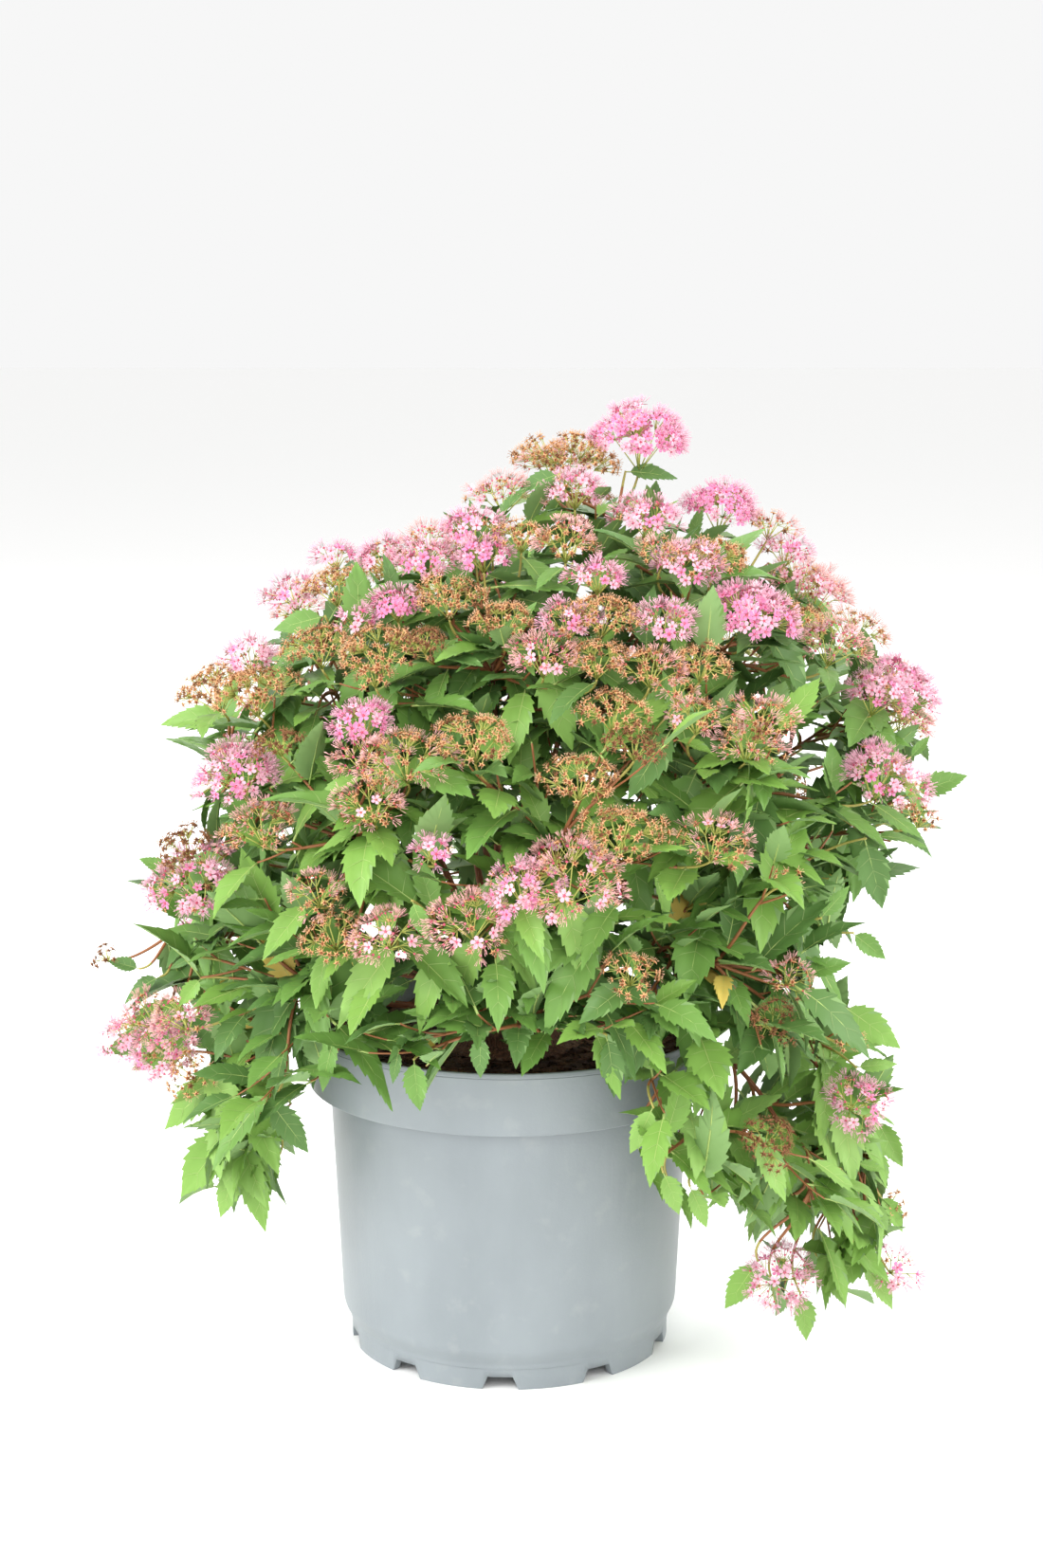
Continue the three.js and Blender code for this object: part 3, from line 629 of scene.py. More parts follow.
# The flower heads that face the camera: across and down its picture in pixels, the width in millimetres and
# how far the flowers have got, from bright and pink through soft and fading to spent and dried.
HEADS_IN_VIEW = [
    (679, 441, 42, "bright"), (600, 468, 44, "spent"), (608, 506, 24, "pink"), (531, 508, 28, "soft"),
    (763, 522, 31, "bright"), (684, 534, 26, "pink"), (499, 546, 25, "pink"), (814, 546, 20, "fading"),
    (550, 556, 22, "spent"), (451, 558, 20, "soft"), (598, 561, 27, "fading"), (832, 573, 20, "pink"),
    (510, 575, 21, "bright"), (405, 575, 24, "pink"), (449, 580, 26, "pink"), (352, 579, 17, "pink"),
    (700, 573, 22, "fading"), (728, 585, 26, "pink"), (757, 575, 30, "spent"), (847, 601, 28, "soft"),
    (633, 599, 21, "pink"), (352, 608, 27, "spent"), (867, 610, 30, "soft"), (308, 617, 22, "pink"),
    (472, 617, 30, "spent"), (417, 629, 20, "bright"), (796, 630, 37, "bright"), (637, 636, 32, "spent"),
    (531, 642, 27, "spent"), (845, 641, 22, "spent"), (601, 646, 22, "pink"), (704, 646, 25, "pink"),
    (375, 648, 15, "pink"), (883, 666, 30, "soft"), (447, 668, 18, "dried"), (333, 670, 30, "spent"),
    (400, 673, 36, "spent"), (574, 678, 29, "soft"), (632, 685, 26, "spent"), (743, 690, 25, "spent"),
    (689, 694, 26, "fading"), (260, 684, 22, "pink"), (948, 702, 29, "pink"), (222, 710, 36, "spent"),
    (394, 708, 15, "spent"), (716, 720, 17, "fading"), (649, 740, 28, "spent"), (381, 750, 22, "bright"),
    (739, 746, 25, "fading"), (808, 748, 26, "fading"), (500, 768, 32, "spent"), (672, 777, 22, "dried"),
    (793, 776, 25, "fading"), (292, 777, 18, "dried"), (380, 789, 24, "soft"), (425, 787, 34, "fading"),
    (246, 802, 35, "pink"), (613, 811, 30, "spent"), (936, 803, 35, "pink"), (390, 840, 28, "fading"),
    (268, 862, 30, "fading"), (976, 855, 18, "fading"), (659, 866, 34, "spent"), (757, 880, 28, "fading"),
    (190, 885, 23, "dried"), (454, 894, 14, "pink"), (198, 920, 36, "pink"), (603, 912, 40, "soft"),
    (551, 930, 24, "pink"), (832, 924, 12, "spent"), (332, 937, 22, "fading"), (497, 962, 32, "soft"),
    (348, 981, 26, "spent"), (407, 978, 25, "soft"), (108, 1006, 11, "dried"), (668, 1023, 22, "spent"),
    (836, 1028, 18, "fading"), (822, 1074, 19, "dried"), (130, 1086, 26, "pink"), (897, 1093, 14, "spent"),
    (196, 1130, 22, "spent"), (909, 1160, 25, "pink"), (815, 1200, 22, "dried"), (944, 1270, 13, "spent"),
    (828, 1345, 29, "pink"), (949, 1337, 19, "pink"), (150, 1068, 24, "soft"), (186, 1072, 24, "soft"),
    (166, 1102, 28, "pink"), (262, 714, 36, "spent"), (966, 724, 27, "pink"), (584, 478, 26, "fading"),
    (930, 722, 27, "pink"), (958, 750, 22, "soft"),
]

# The leaves that stand out at the crown's edge: foot and tip of each, across and down the picture in pixels.
LEAVES_IN_VIEW = np.array([
    (800, 1332, 765, 1384), (845, 1366, 856, 1419), (862, 1326, 894, 1378), (908, 1332, 951, 1382),
    (895, 1285, 936, 1315), (928, 1262, 958, 1300), (905, 1228, 936, 1236), (924, 1180, 953, 1234),
    (905, 1128, 950, 1122), (890, 1062, 957, 1108), (850, 1030, 898, 1008), (868, 968, 900, 933),
    (916, 884, 938, 960), (935, 868, 993, 894), (966, 836, 1023, 816), (962, 798, 984, 774),
    (950, 748, 984, 735), (700, 1238, 721, 1284), (728, 1252, 748, 1296), (690, 1170, 666, 1222),
    (640, 1092, 653, 1160), (508, 1092, 503, 1139), (436, 1118, 440, 1175), (420, 1108, 412, 1145),
    (352, 1092, 334, 1153), (282, 1162, 324, 1217), (263, 1212, 277, 1303), (250, 1228, 230, 1287),
    (246, 1190, 185, 1263), (240, 1136, 162, 1184), (200, 1010, 176, 1022), (176, 918, 143, 904),
    (245, 756, 166, 757), (342, 648, 286, 661), (660, 496, 716, 498), (590, 498, 545, 513),
    (188, 1080, 106, 1112), (168, 1030, 124, 1052), (146, 1022, 112, 1012), (210, 1032, 184, 1062),
    (214, 1072, 150, 1120), (902, 984, 938, 1012), (204, 1064, 124, 1080), (206, 1098, 132, 1128),
    (434, 950, 450, 992)], float)

# The corners of the crown's leafy edge, from its top round by the right. Leaves and shoots keep inside it.
CROWN_EDGE = np.array([
    (545, 492), (600, 490), (665, 482), (718, 490), (770, 530), (815, 540), (842, 556), (856, 600),
    (895, 640), (935, 675), (985, 705), (990, 745), (984, 785), (1000, 810), (1026, 812), (1000, 868),
    (996, 898), (946, 905), (946, 935), (938, 964), (912, 945), (902, 970), (944, 1012), (915, 1012),
    (896, 1028), (890, 1052), (935, 1070), (960, 1108), (952, 1160), (958, 1235), (940, 1250), (962, 1298),
    (940, 1325), (956, 1384), (915, 1372), (902, 1382), (870, 1372), (858, 1420), (832, 1388), (800, 1392),
    (762, 1388), (790, 1300), (760, 1270), (748, 1300), (715, 1288), (680, 1250), (658, 1226), (662, 1170),
    (652, 1164), (632, 1130), (560, 1130), (525, 1124), (503, 1142), (484, 1122), (458, 1118), (440, 1178),
    (425, 1148), (412, 1148), (385, 1130), (366, 1118), (333, 1156), (322, 1160), (328, 1220), (294, 1222),
    (294, 1270), (277, 1308), (250, 1280), (228, 1292), (215, 1262), (182, 1266), (190, 1222), (215, 1192),
    (158, 1186), (160, 1150), (196, 1122), (205, 1060), (160, 1052), (118, 1050), (128, 1032), (172, 1018),
    (170, 985), (160, 960), (140, 925), (140, 902), (195, 890), (200, 840), (205, 790), (160, 762),
    (185, 745), (240, 735), (236, 700), (284, 664), (300, 640), (340, 600), (380, 576), (440, 560),
    (490, 520)], float)

# Places where the sky shows between the leaves, with their radii in pixels. Leaves and shoots keep off them.
SKY_GAPS = np.array([
    (332, 640, 12), (338, 700, 10), (322, 744, 9), (352, 735, 8), (272, 745, 10), (248, 885, 9),
    (232, 965, 9), (226, 1016, 11), (265, 1000, 9), (775, 668, 9), (815, 712, 9), (846, 772, 11),
    (868, 818, 9), (915, 850, 9), (874, 888, 9), (905, 908, 8), (800, 1145, 12), (750, 1150, 8),
    (840, 1275, 8), (890, 1000, 10), (915, 950, 8), (858, 985, 8), (890, 1215, 6), (300, 1075, 6),
    (486, 1112, 12), (596, 1112, 12), (712, 1108, 10)], float)

LOW_HEADS = (0.12, 0.30)  # from the upper height down to the lower one, heads turn more and more to the front
POT_HIDES = (0.088, 1080)  # how far to the side, and from which row down, the pot hides what is behind it
CROWN_DEPTHS = np.linspace(0.9, 1.36, 231)[:, None, None]  # how far ahead the crown's face is looked for


def shell(directions):
    """How far the crown's face lies from its heart: the masses' reaches, the nearest in direction most."""
    weights = np.exp(SHELL_SHARPNESS * (directions @ toward.T - 1))
    return (weights * reach).sum(-1) / weights.sum(-1)


FOCAL = LENS / SENSOR * PICTURE[1]  # the camera's distance from its picture, in pixels
AHEAD = np.array([0, np.cos(TILT), -np.sin(TILT)])
ABOVE = np.array([0, np.sin(TILT), np.cos(TILT)])


def sight(columns, rows):
    """The way from the camera to places in its picture, as long as one metre straight ahead needs."""
    across = ((columns - PICTURE[0] / 2) / FOCAL)[:, None]
    down = ((rows - PICTURE[1] / 2) / FOCAL)[:, None]
    return AHEAD + EAST * across - ABOVE * down


def on_shell(columns, rows):
    """The points of the crown's face that the camera sees at places in its picture, or nearly sees."""
    points = EYE + sight(columns, rows) * CROWN_DEPTHS
    arms = points - HEART
    depth = np.linalg.norm(arms, axis=-1) / shell(unit(arms))
    inside = depth < 1
    first = np.where(inside.any(0), inside.argmax(0), depth.argmin(0))
    return points[first, np.arange(len(columns))]


def inside_edge(points):
    """True for points that the camera sees within the crown's edge and off its gaps, or that the pot hides.

    A place is inside where a line to its right crosses an odd number of the edge's sides.
    """
    arms = points - EYE
    column = (PICTURE[0] / 2 + FOCAL * (arms @ EAST) / (arms @ AHEAD))[..., None]
    row = (PICTURE[1] / 2 - FOCAL * (arms @ ABOVE) / (arms @ AHEAD))[..., None]
    first, second = CROWN_EDGE, np.roll(CROWN_EDGE, -1, axis=0)
    fall = second[:, 1] - first[:, 1]
    crossing = first[:, 0] + (row - first[:, 1]) / np.where(fall == 0, 1, fall) * (second - first)[:, 0]
    crossed = ((first[:, 1] > row) != (second[:, 1] > row)) & (column < crossing)
    open_sky = np.hypot(column - SKY_GAPS[:, 0], row - SKY_GAPS[:, 1]) < SKY_GAPS[:, 2]
    hidden = (np.abs(points[..., 0]) < POT_HIDES[0]) & (points[..., 1] > 0) & (row[..., 0] > POT_HIDES[1])
    return (crossed.sum(-1) % 2 == 1) & ~open_sky.any(-1) | hidden


def owner(points):
    """The mass that each point belongs to: the one whose tip lies nearest in direction from the heart."""
    return ((points - HEART) @ toward.T).argmax(-1)


def in_cell(points, mass):
    """True for points inside a mass's own cell and the reach of the crown."""
    within = (np.abs(points) < SPREAD).all(-1)
    arms = points - HEART
    own = (arms * toward[mass]).sum(-1)
    return within & (arms @ toward.T <= own[..., None] + CELL_SLACK).all(-1)


def shoot_controls(number, share, aside, end):
    """A shoot's curve: it leaves its stem aslant, and arrives heading outwards as the stem's tip does."""
    point, forward = bezier(limbs[number], share), running(limbs[number], share)
    arrival = blend((unit(end - HEART), 0.6), (running(limbs[number], 1.0), 0.5))
    length = np.linalg.norm(end - point)
    leaving = blend((forward, 4), (aside, 3))
    return [point, point + leaving * SHOOT_LEAVES * length, end - arrival * SHOOT_ARRIVES * length, end]


def nearest_shoot(end, number):
    """The curve of a shoot to a given end, from where its stem is near and already points that way."""
    starts, ways = bezier(limbs[number], limb_shares), running(limbs[number], limb_shares)
    gaps = end - starts
    best = (np.linalg.norm(gaps, axis=1) * (2 - dot(unit(gaps), ways)[:, 0])).argmin()
    aside, _ = frame_near(ways[best], gaps[best])
    return shoot_controls(number, limb_shares[best], aside, end)


view_faces = on_shell(*np.array([head[:2] for head in HEADS_IN_VIEW], float).T)
limb_shares = np.linspace(*LIMB_PART, 40)
curves, curve_mass, curve_head = [], [], []  # control points, mass, and flower head or -1
heads = []  # width, stage and axis of each flower head

# The heads in view. Each looks up and outwards, and the lower it hangs the more it also turns to the front.
for face, number, (_, _, width, stage) in zip(view_faces, owner(view_faces), HEADS_IN_VIEW):
    width = width / 1000
    outward = unit(face - HEART)
    low = np.clip((LOW_HEADS[1] - face[2]) / (LOW_HEADS[1] - LOW_HEADS[0]), 0, 1)
    axis = blend((outward, 0.34), (UP, 0.7), (FRONT, 0.08 + 0.55 * low))
    curves.append(nearest_shoot(face - axis * (RAY_SHARE + SEEN_DOME * DOME[stage]) * width, number))
    curve_mass.append(number)
    curve_head.append(len(heads))
    heads.append((width, stage, axis))

edge_tips = on_shell(LEAVES_IN_VIEW[:, 2], LEAVES_IN_VIEW[:, 3])
edge_depth = (edge_tips - EYE) @ AHEAD
edge_feet = EYE + sight(LEAVES_IN_VIEW[:, 0], LEAVES_IN_VIEW[:, 1]) * edge_depth[:, None]
edge_twig = {}  # the way from foot to tip of the leaf that each of these shoots ends in
for foot, tip, number in zip(edge_feet, edge_tips, owner(edge_tips)):
    edge_twig[len(curves)] = tip - foot
    curves.append(nearest_shoot(foot, number))
    curve_mass.append(number)
    curve_head.append(-1)

# The other shoots, by the rule: round each mass's direction by golden turns. One bears a head, at a stage
# drawn from AGES, where it faces away from the camera, and is leafy where it doesn't.
facing = unit(EYE - HEART)
AGES = ["bright", "pink", "pink", "soft", "fading", "fading", "spent", "spent", "spent", "dried"]
for number, (_, tier, _) in enumerate(masses):
    grown = flowering = 0
    for j in range(SHOOT_TRIES):
        share = between(ROOT_SHARE, (j * GOLDEN_SHARE + chance(number, 1)) % 1)
        share = tier["bare"] + (1 - tier["bare"]) * share
        angle = j * GOLDEN_ANGLE + FULL_TURN * chance(number, 2)
        level, across = frame_of(toward[number])
        aside = blend((level, np.cos(angle)), (across, np.sin(angle)))
        apart = tier["spread"] * between(APART, chance(number, j, 3))
        outward = blend((toward[number], np.cos(apart)), (aside, np.sin(apart)))
        width = between(HIDDEN_HEAD, chance(number, j, 9))
        face = HEART + outward * (reach[number] + width / 2)
        leafy = outward @ facing > FRONT_FROM or flowering > tier["heads"] or not inside_edge(face)
        length = reach[number] * between(LEAFY_REACH if leafy else REACH, chance(number, j, 4))
        ends = HEART + outward * length * PULLED_IN
        fits = in_cell(ends, number) & inside_edge(ends)
        end = ends[fits.argmax()]
        crowded = min(np.linalg.norm(np.array(curves)[:, 3] - end, axis=1)) < SHOOT_GAP
        if grown >= tier["shoots"] or crowded or not fits.any():
            continue
        curves.append(shoot_controls(number, share, aside, end))
        curve_mass.append(number)
        grown += 1
        if leafy:
            curve_head.append(-1)
            continue
        flowering += 1
        curve_head.append(len(heads))
        stage = AGES[int(len(AGES) * chance(number, j, 10))]
        heads.append((width, stage, blend((outward, 0.6), (UP, 0.55))))

shoots, shoot_mass, shoot_head = np.array(curves), np.array(curve_mass), np.array(curve_head)

# Side twigs: short curves that leave their shoots aslant and outwards, and turn up a little.
side_shoot = np.repeat(np.arange(len(shoots)), SIDE_TWIGS)
side_number = np.arange(len(side_shoot))
side_share = between(SIDE_PART, chance(90, side_number))
side_root = bezier(shoots[side_shoot], side_share)
side_way = running(shoots[side_shoot], side_share)
level, across = frame_of(side_way)
angle = (side_number * GOLDEN_ANGLE)[:, None]
outward = unit(side_root - HEART)
side_aside = blend((level, np.cos(angle)), (across, np.sin(angle)), (outward, 0.7))
side_length = between(SIDE_LENGTH, chance(91, side_number))[:, None]
side_bend = side_root + blend((side_way, 0.7), (side_aside, 0.7)) * side_length * 0.5
side_tip = side_bend + blend((side_way, 0.5), (side_aside, 0.5), (UP, 0.3)) * side_length * 0.5
near_root, near_tip = (side_root + 2 * side_bend) / 3, (side_tip + 2 * side_bend) / 3
side_twigs = np.stack([side_root, near_root, near_tip, side_tip], 1)
kept = (np.abs(side_tip) < SPREAD - SIDE_MARGIN).all(1) & inside_edge(side_tip)
side_twigs, side_shoot, side_share = side_twigs[kept], side_shoot[kept], side_share[kept]
foliage_nodes = [f"foliage_{name}" for name, _, _ in masses]

# ---------------------------------------------------------------- Leaves
# Toothed, pointed leaves about three centimetres long, one at each node of a shoot and turned by the golden
# angle. Each is folded along a pale raised midrib, quilted between its side veins, and arches to its tip.

LEAF_LENGTH, LEAF_WIDTH = (0.023, 0.042), (0.36, 0.52)  # width as a share of length
LEAF_SPACING, INNER_SPACING = 0.0106, 0.0060  # from leaf to leaf, on shoots and on stems inside the crown
LEAF_SHARE = (0.16, 0.98)  # the part of a shoot that bears leaves
STALK = 0.10  # this and the leaf's other sizes are shares of its length
FOLD, ARCH, WAVE = (0.08, 0.5), (0.02, 0.36), 0.02
CHEVRON, CAMBER, QUILT, THICKNESS = 0.2, 0.018, 0.012, 0.010
ROUNDNESS, TAPER, FULLEST = 0.7, 1.15, 0.293  # powers of the way from stalk and tip, and their product's peak
YELLOW_HEIGHT, YELLOW_SHARE = (0.195, 0.045), 0.5  # old leaves this high, or so, turn yellow low on a twig
OLD_FROM, OLD_SIZE = 0.96, 0.7  # the luck from which a leaf is an old one, and its size beside the others
LEAF_SPREAD, LAST_SPREAD = 0.85, 0.15  # how much a leaf turns off its twig, and the last one on a twig does
SCATTER = 0.8  # how much chance turns a leaf
TINT_BY_TWIG = 0.7  # how much the twig decides a leaf's tint, and not the leaf
END_FROM, END_SIZE = 0.8, 0.8  # the last leaves under a head and at a twig's tip are smaller
TAIL_FROM, HANGING_TAIL_FROM, TAIL_PULL = 0.62, 0.9, 0.34  # where leaves start on a stem, in its bare shares
ABOVE_RIM, OFF_RIM, ABOVE_SOIL, ABOVE_FLOOR = 0.002, 0.0015, 0.002, 0.012  # room that leaves leave
SOIL_REACH = 0.088
HEAD_BESIDE, HEAD_BEHIND = 0.46, 0.14  # room round a flower head, as shares of its width
HEAD_OUTLOOK = 0.035  # how far before a head no leaf stands
HEAD_CORE = 0.4  # the share of its dome's height at which a head's middle lies
LEAF_ROWS, ROW_CROWDING = 10, 1.35  # rows lie closer together near the stalk, so that the teeth come out even
TOOTH, NOTCH, NOTCH_PLACE = 1.12, 0.9, 0.24  # share of half the width at teeth and notches, and of a row
RIB_SHARES = np.array([-STALK, 0, 0.25, 0.55, 0.9])
RIB_RADII = np.array([0.016, 0.016, 0.013, 0.010, 0.003])
RIB_DEPTH = 0.003
VEIN_ROWS = np.array([1, 3, 5, 7])  # the side veins lie in the valleys between the quilts
VEIN_ALONG = np.array([-0.005, 0.005, -0.004, 0.004, 0])  # a side vein's corners, along the leaf and outwards
VEIN_OUT = np.array([0.01, 0.01, 0.5, 0.5, 0.93])
VEIN_LIFT, VEIN_PALENESS = 0.004, 0.24
TINTS = {
    "deep": (85, 120, 60), "forest": (102, 141, 65), "mid": (117, 156, 70),
    "fresh": (126, 164, 80), "lime": (134, 170, 90), "yellow": (208, 184, 92),
}
VEIN_GREEN = (206, 220, 150)


def half_width(share):
    """Half the blade's width along it: a power of the way from the stalk times one of the way to the tip."""
    share = np.clip(share, 0, 1)
    return 0.5 * share**ROUNDNESS * (1 - share) ** TAPER / FULLEST


def row_share(row):
    """How far along the midrib a row of the blade starts: its share of all the rows, to a power."""
    return (row / LEAF_ROWS) ** ROW_CROWDING


def on_blade(share, column, fold, arch, width, wave):
    """Points of blades, in their own lengths, by the share of the way along and out from midrib to edge.

    A row runs forward as it goes out, in a chevron. The halves rise from the midrib by the fold and bulge
    between midrib and edge; the edge waves, and the whole arches down with the square of the way along.
    """
    share, column = np.broadcast_arrays(share, column)
    fold, arch, width, wave = (v[:, None, None] for v in (fold, arch, width, wave))
    out, fullness = np.abs(column), np.sin(np.pi * share)
    forward = share + CHEVRON * out * fullness
    aside = column * half_width(forward) * width
    quilts = np.where(out == 0.5, np.cos(np.pi * LEAF_ROWS * share ** (1 / ROW_CROWDING)), 0)
    bulge = (4 * CAMBER * out * (1 - out) + QUILT * quilts) * fullness
    ripple = WAVE * out * fullness * np.sin(FULL_TURN * (1.4 * forward + wave) + column)
    above = fold * np.abs(aside) + bulge + ripple - arch * forward**2
    return np.stack(np.broadcast_arrays(forward, aside, above), -1)


def blade_points(fold, arch, width, wave):
    """Blades: grids of five columns, the notches, an under side of three columns, and the ends and veins."""
    rows = np.arange(1, LEAF_ROWS)[:, None]
    turns = (fold, arch, width, wave)
    upper = on_blade(row_share(rows), np.array([-TOOTH, -0.5, 0, 0.5, TOOTH]), *turns)
    notches = on_blade(row_share(rows[:-1] + NOTCH_PLACE), np.array([-NOTCH, NOTCH]), *turns)
    under = upper[:, :, [0, 2, 4]] - np.array([[0, 0, 0], [0, 0, THICKNESS], [0, 0, 0]])
    ends = on_blade(np.array([[0.0], [1.0]]), np.array([0.0]), *turns)
    vein_shares = row_share(VEIN_ROWS)[:, None] + VEIN_ALONG
    veins = [on_blade(vein_shares, side * VEIN_OUT, *turns) + [0, 0, VEIN_LIFT] for side in (-1, 1)]
    sheets = [upper, notches, under, notches, ends, ends, *veins]
    return np.concatenate([sheet.reshape(len(fold), -1, 3) for sheet in sheets], 1)


BLADE_ROWS = LEAF_ROWS - 1
SHEET_SIZES = [BLADE_ROWS * 5, (BLADE_ROWS - 1) * 2, BLADE_ROWS * 3, (BLADE_ROWS - 1) * 2, 2, 2,
               len(VEIN_ROWS) * 5, len(VEIN_ROWS) * 5]  # how many points each sheet of a blade has


def outer_faces(inner, outer, notch):
    """Five-cornered faces between two columns of points, round the notch in the outer one."""
    return np.stack([inner[:-1], inner[1:], outer[1:], notch, outer[:-1]], -1)


def blade_faces():
    """The faces of one blade: finish 0 on its upper side, 1 on its under side and 2 on its side veins."""
    starts = np.cumsum([0] + SHEET_SIZES[:-1])
    upper, notch, under, under_notch, ends, under_ends, *veins = (
        start + np.arange(size) for start, size in zip(starts, SHEET_SIZES))
    upper, under = upper.reshape(BLADE_ROWS, 5), under.reshape(BLADE_ROWS, 3)
    notch, under_notch = notch.reshape(-1, 2), under_notch.reshape(-1, 2)
    inner = np.stack([upper[:-1, 1:3], upper[1:, 1:3], upper[1:, 2:4], upper[:-1, 2:4]], -1).reshape(-1, 4)
    left = outer_faces(upper[:, 1], upper[:, 0], notch[:, 0])[:, ::-1]
    right = outer_faces(upper[:, 3], upper[:, 4], notch[:, 1])
    under_left = outer_faces(under[:, 1], under[:, 0], under_notch[:, 0])
    under_right = outer_faces(under[:, 1], under[:, 2], under_notch[:, 1])[:, ::-1]

    def fans(grid, ends):
        """Triangles that close a grid to the blade's foot and to its tip."""
        first, last = grid[0], grid[-1]
        base = np.stack([np.full(len(first) - 1, ends[0]), first[:-1], first[1:]], -1)
        tip = np.stack([last[:-1], np.full(len(last) - 1, ends[1]), last[1:]], -1)
        return np.concatenate([base, tip])

    vein_parts = [(vein.reshape(-1, 5)[:, corners][:, ::side], 2)
                  for vein, side in zip(veins, (-1, 1)) for corners in ([0, 1, 3, 2], [2, 3, 4])]
    return [(inner, 0), (left, 0), (right, 0), (fans(upper, ends), 0),
            (under_left, 1), (under_right, 1), (fans(under, under_ends)[:, ::-1], 1), *vein_parts]


def laid(shape, root, axes, size):
    """Shapes laid in place: each point's along, aside and above carried along three axes, times the size."""
    return root[:, None] + (shape @ axes) * size[:, None, None]


# Every twig that bears leaves: the upper part of each stem, the shoots and the side twigs.
stem_tails = []
for number, (_, tier, _) in enumerate(masses):
    part = np.array([tier["bare"] * (TAIL_FROM if tier["arrive"] > 0 else HANGING_TAIL_FROM), STEM_END])
    first, last = bezier(limbs[number], part)
    leaving, arriving = running(limbs[number], part) * np.linalg.norm(last - first) * TAIL_PULL
    stem_tails.append([first, first + leaving, last - arriving, last])
twigs = np.concatenate([np.array(stem_tails), shoots, side_twigs])
twig_mass = np.concatenate([np.arange(len(masses)), shoot_mass, shoot_mass[side_shoot]])
twig_flowers = np.concatenate([np.zeros(len(masses), bool), shoot_head >= 0, np.zeros(len(side_twigs), bool)])
leafy_length = curve_lengths(twigs, np.linspace(0, 1, 9)) * (LEAF_SHARE[1] - LEAF_SHARE[0])
spacing = np.where(np.arange(len(twigs)) < len(masses), INNER_SPACING, LEAF_SPACING)
leaf_count = np.maximum(3, (leafy_length / spacing).astype(int))
leaf_twig = np.repeat(np.arange(len(twigs)), leaf_count)
leaf_k = np.arange(len(leaf_twig)) - np.repeat(np.cumsum(leaf_count) - leaf_count, leaf_count)
leaf_share = between(LEAF_SHARE, leaf_k / (leaf_count[leaf_twig] - 1))
leaf_mass = twig_mass[leaf_twig]
leaf_point = bezier(twigs[leaf_twig], leaf_share)
leaf_way = running(twigs[leaf_twig], leaf_share)


def luck(key):
    """A number from 0 to 1 for each leaf."""
    return chance(leaf_mass, leaf_twig, leaf_k, key)


def of_tier(key):
    """The value that the tier of each leaf's mass has under a name."""
    return np.array([tier[key] for _, tier, _ in masses])[leaf_mass]


# Which way each leaf points, which way it turns its face, how large it is and where it joins its twig. The
# leaves at the crown's edge take theirs from their feet and tips.
is_last = (leaf_k == leaf_count[leaf_twig] - 1) & ~twig_flowers[leaf_twig]
by_head = twig_flowers[leaf_twig] & (leaf_share > END_FROM)
is_old = luck(13) > OLD_FROM
leaf_turn = (leaf_k * GOLDEN_ANGLE + FULL_TURN * chance(leaf_mass, leaf_twig, 6))[:, None]
level, across = frame_of(leaf_way)
leaf_aside = blend((level, np.cos(leaf_turn)), (across, np.sin(leaf_turn)))
droop = between(of_tier("droop").T, luck(7))[:, None]
leaf_out = unit(leaf_point - HEART)
spreading = np.where(is_last, LAST_SPREAD, LEAF_SPREAD)[:, None]
scatter = np.stack([luck(key) - 0.5 for key in (18, 19, 20)], -1)
leaf_axis = blend((leaf_aside, spreading), (leaf_way, 1.2 - spreading), (UP, -droop), (leaf_out, 0.12),
                  (scatter, SCATTER))
leaf_light = blend((UP, 1.0), (leaf_out, 0.4), (scatter, SCATTER))
leaf_size = between(LEAF_LENGTH, luck(8)) * of_tier("leaf") * np.where(by_head | is_last, END_SIZE, 1)
leaf_size = leaf_size * np.where(is_old, OLD_SIZE, 1)
at_edge = np.zeros(len(leaf_twig), bool)
for shoot, arm in edge_twig.items():
    chosen = is_last & (leaf_twig == shoot + len(masses))
    at_edge |= chosen
    leaf_axis[chosen] = unit(arm)
    leaf_size[chosen] = np.linalg.norm(arm) / (1 + STALK)
    leaf_light[chosen] = blend((UP, 0.5), (FRONT, 0.7), (scatter[chosen], 0.5))
leaf_top, leaf_side = frame_near(leaf_axis, leaf_light)
leaf_root = leaf_point + leaf_axis * (STALK * leaf_size)[:, None]
leaf_axes = np.stack([leaf_axis, leaf_side, leaf_top], 1)

head_tip = shoots[shoot_head >= 0][:, 3]
head_width = np.array([width for width, _, _ in heads])
head_stage = [stage for _, stage, _ in heads]
head_axis = np.array([axis for _, _, axis in heads])
head_dome = np.array([DOME[stage] for stage in head_stage]) * head_width
head_middle = head_tip + head_axis * (RAY_SHARE * head_width + HEAD_CORE * head_dome)[:, None]


def clear(points):
    """True for points that keep off the pot and the soil, and out of the heads and the way they look."""
    radius, height = np.linalg.norm(points[:, :2], axis=1), points[:, 2]
    over_pot = (height > POT_HEIGHT + ABOVE_RIM) | (radius > RIM + OFF_RIM)
    over_soil = (height > SOIL_SURFACE + ABOVE_SOIL) & (radius < SOIL_REACH)
    reached = (np.abs(points) < SPREAD).all(1) & (height > ABOVE_FLOOR)
    arms = points[:, None] - head_middle
    depth = (arms * head_axis).sum(-1)
    beside = np.sqrt(np.maximum((arms**2).sum(-1) - depth**2, 0))
    hides = (beside < HEAD_BESIDE * head_width) & (depth > -HEAD_BEHIND * head_width) & (depth < HEAD_OUTLOOK)
    return (over_pot | over_soil) & reached & ~hides.any(1) & inside_edge(points)


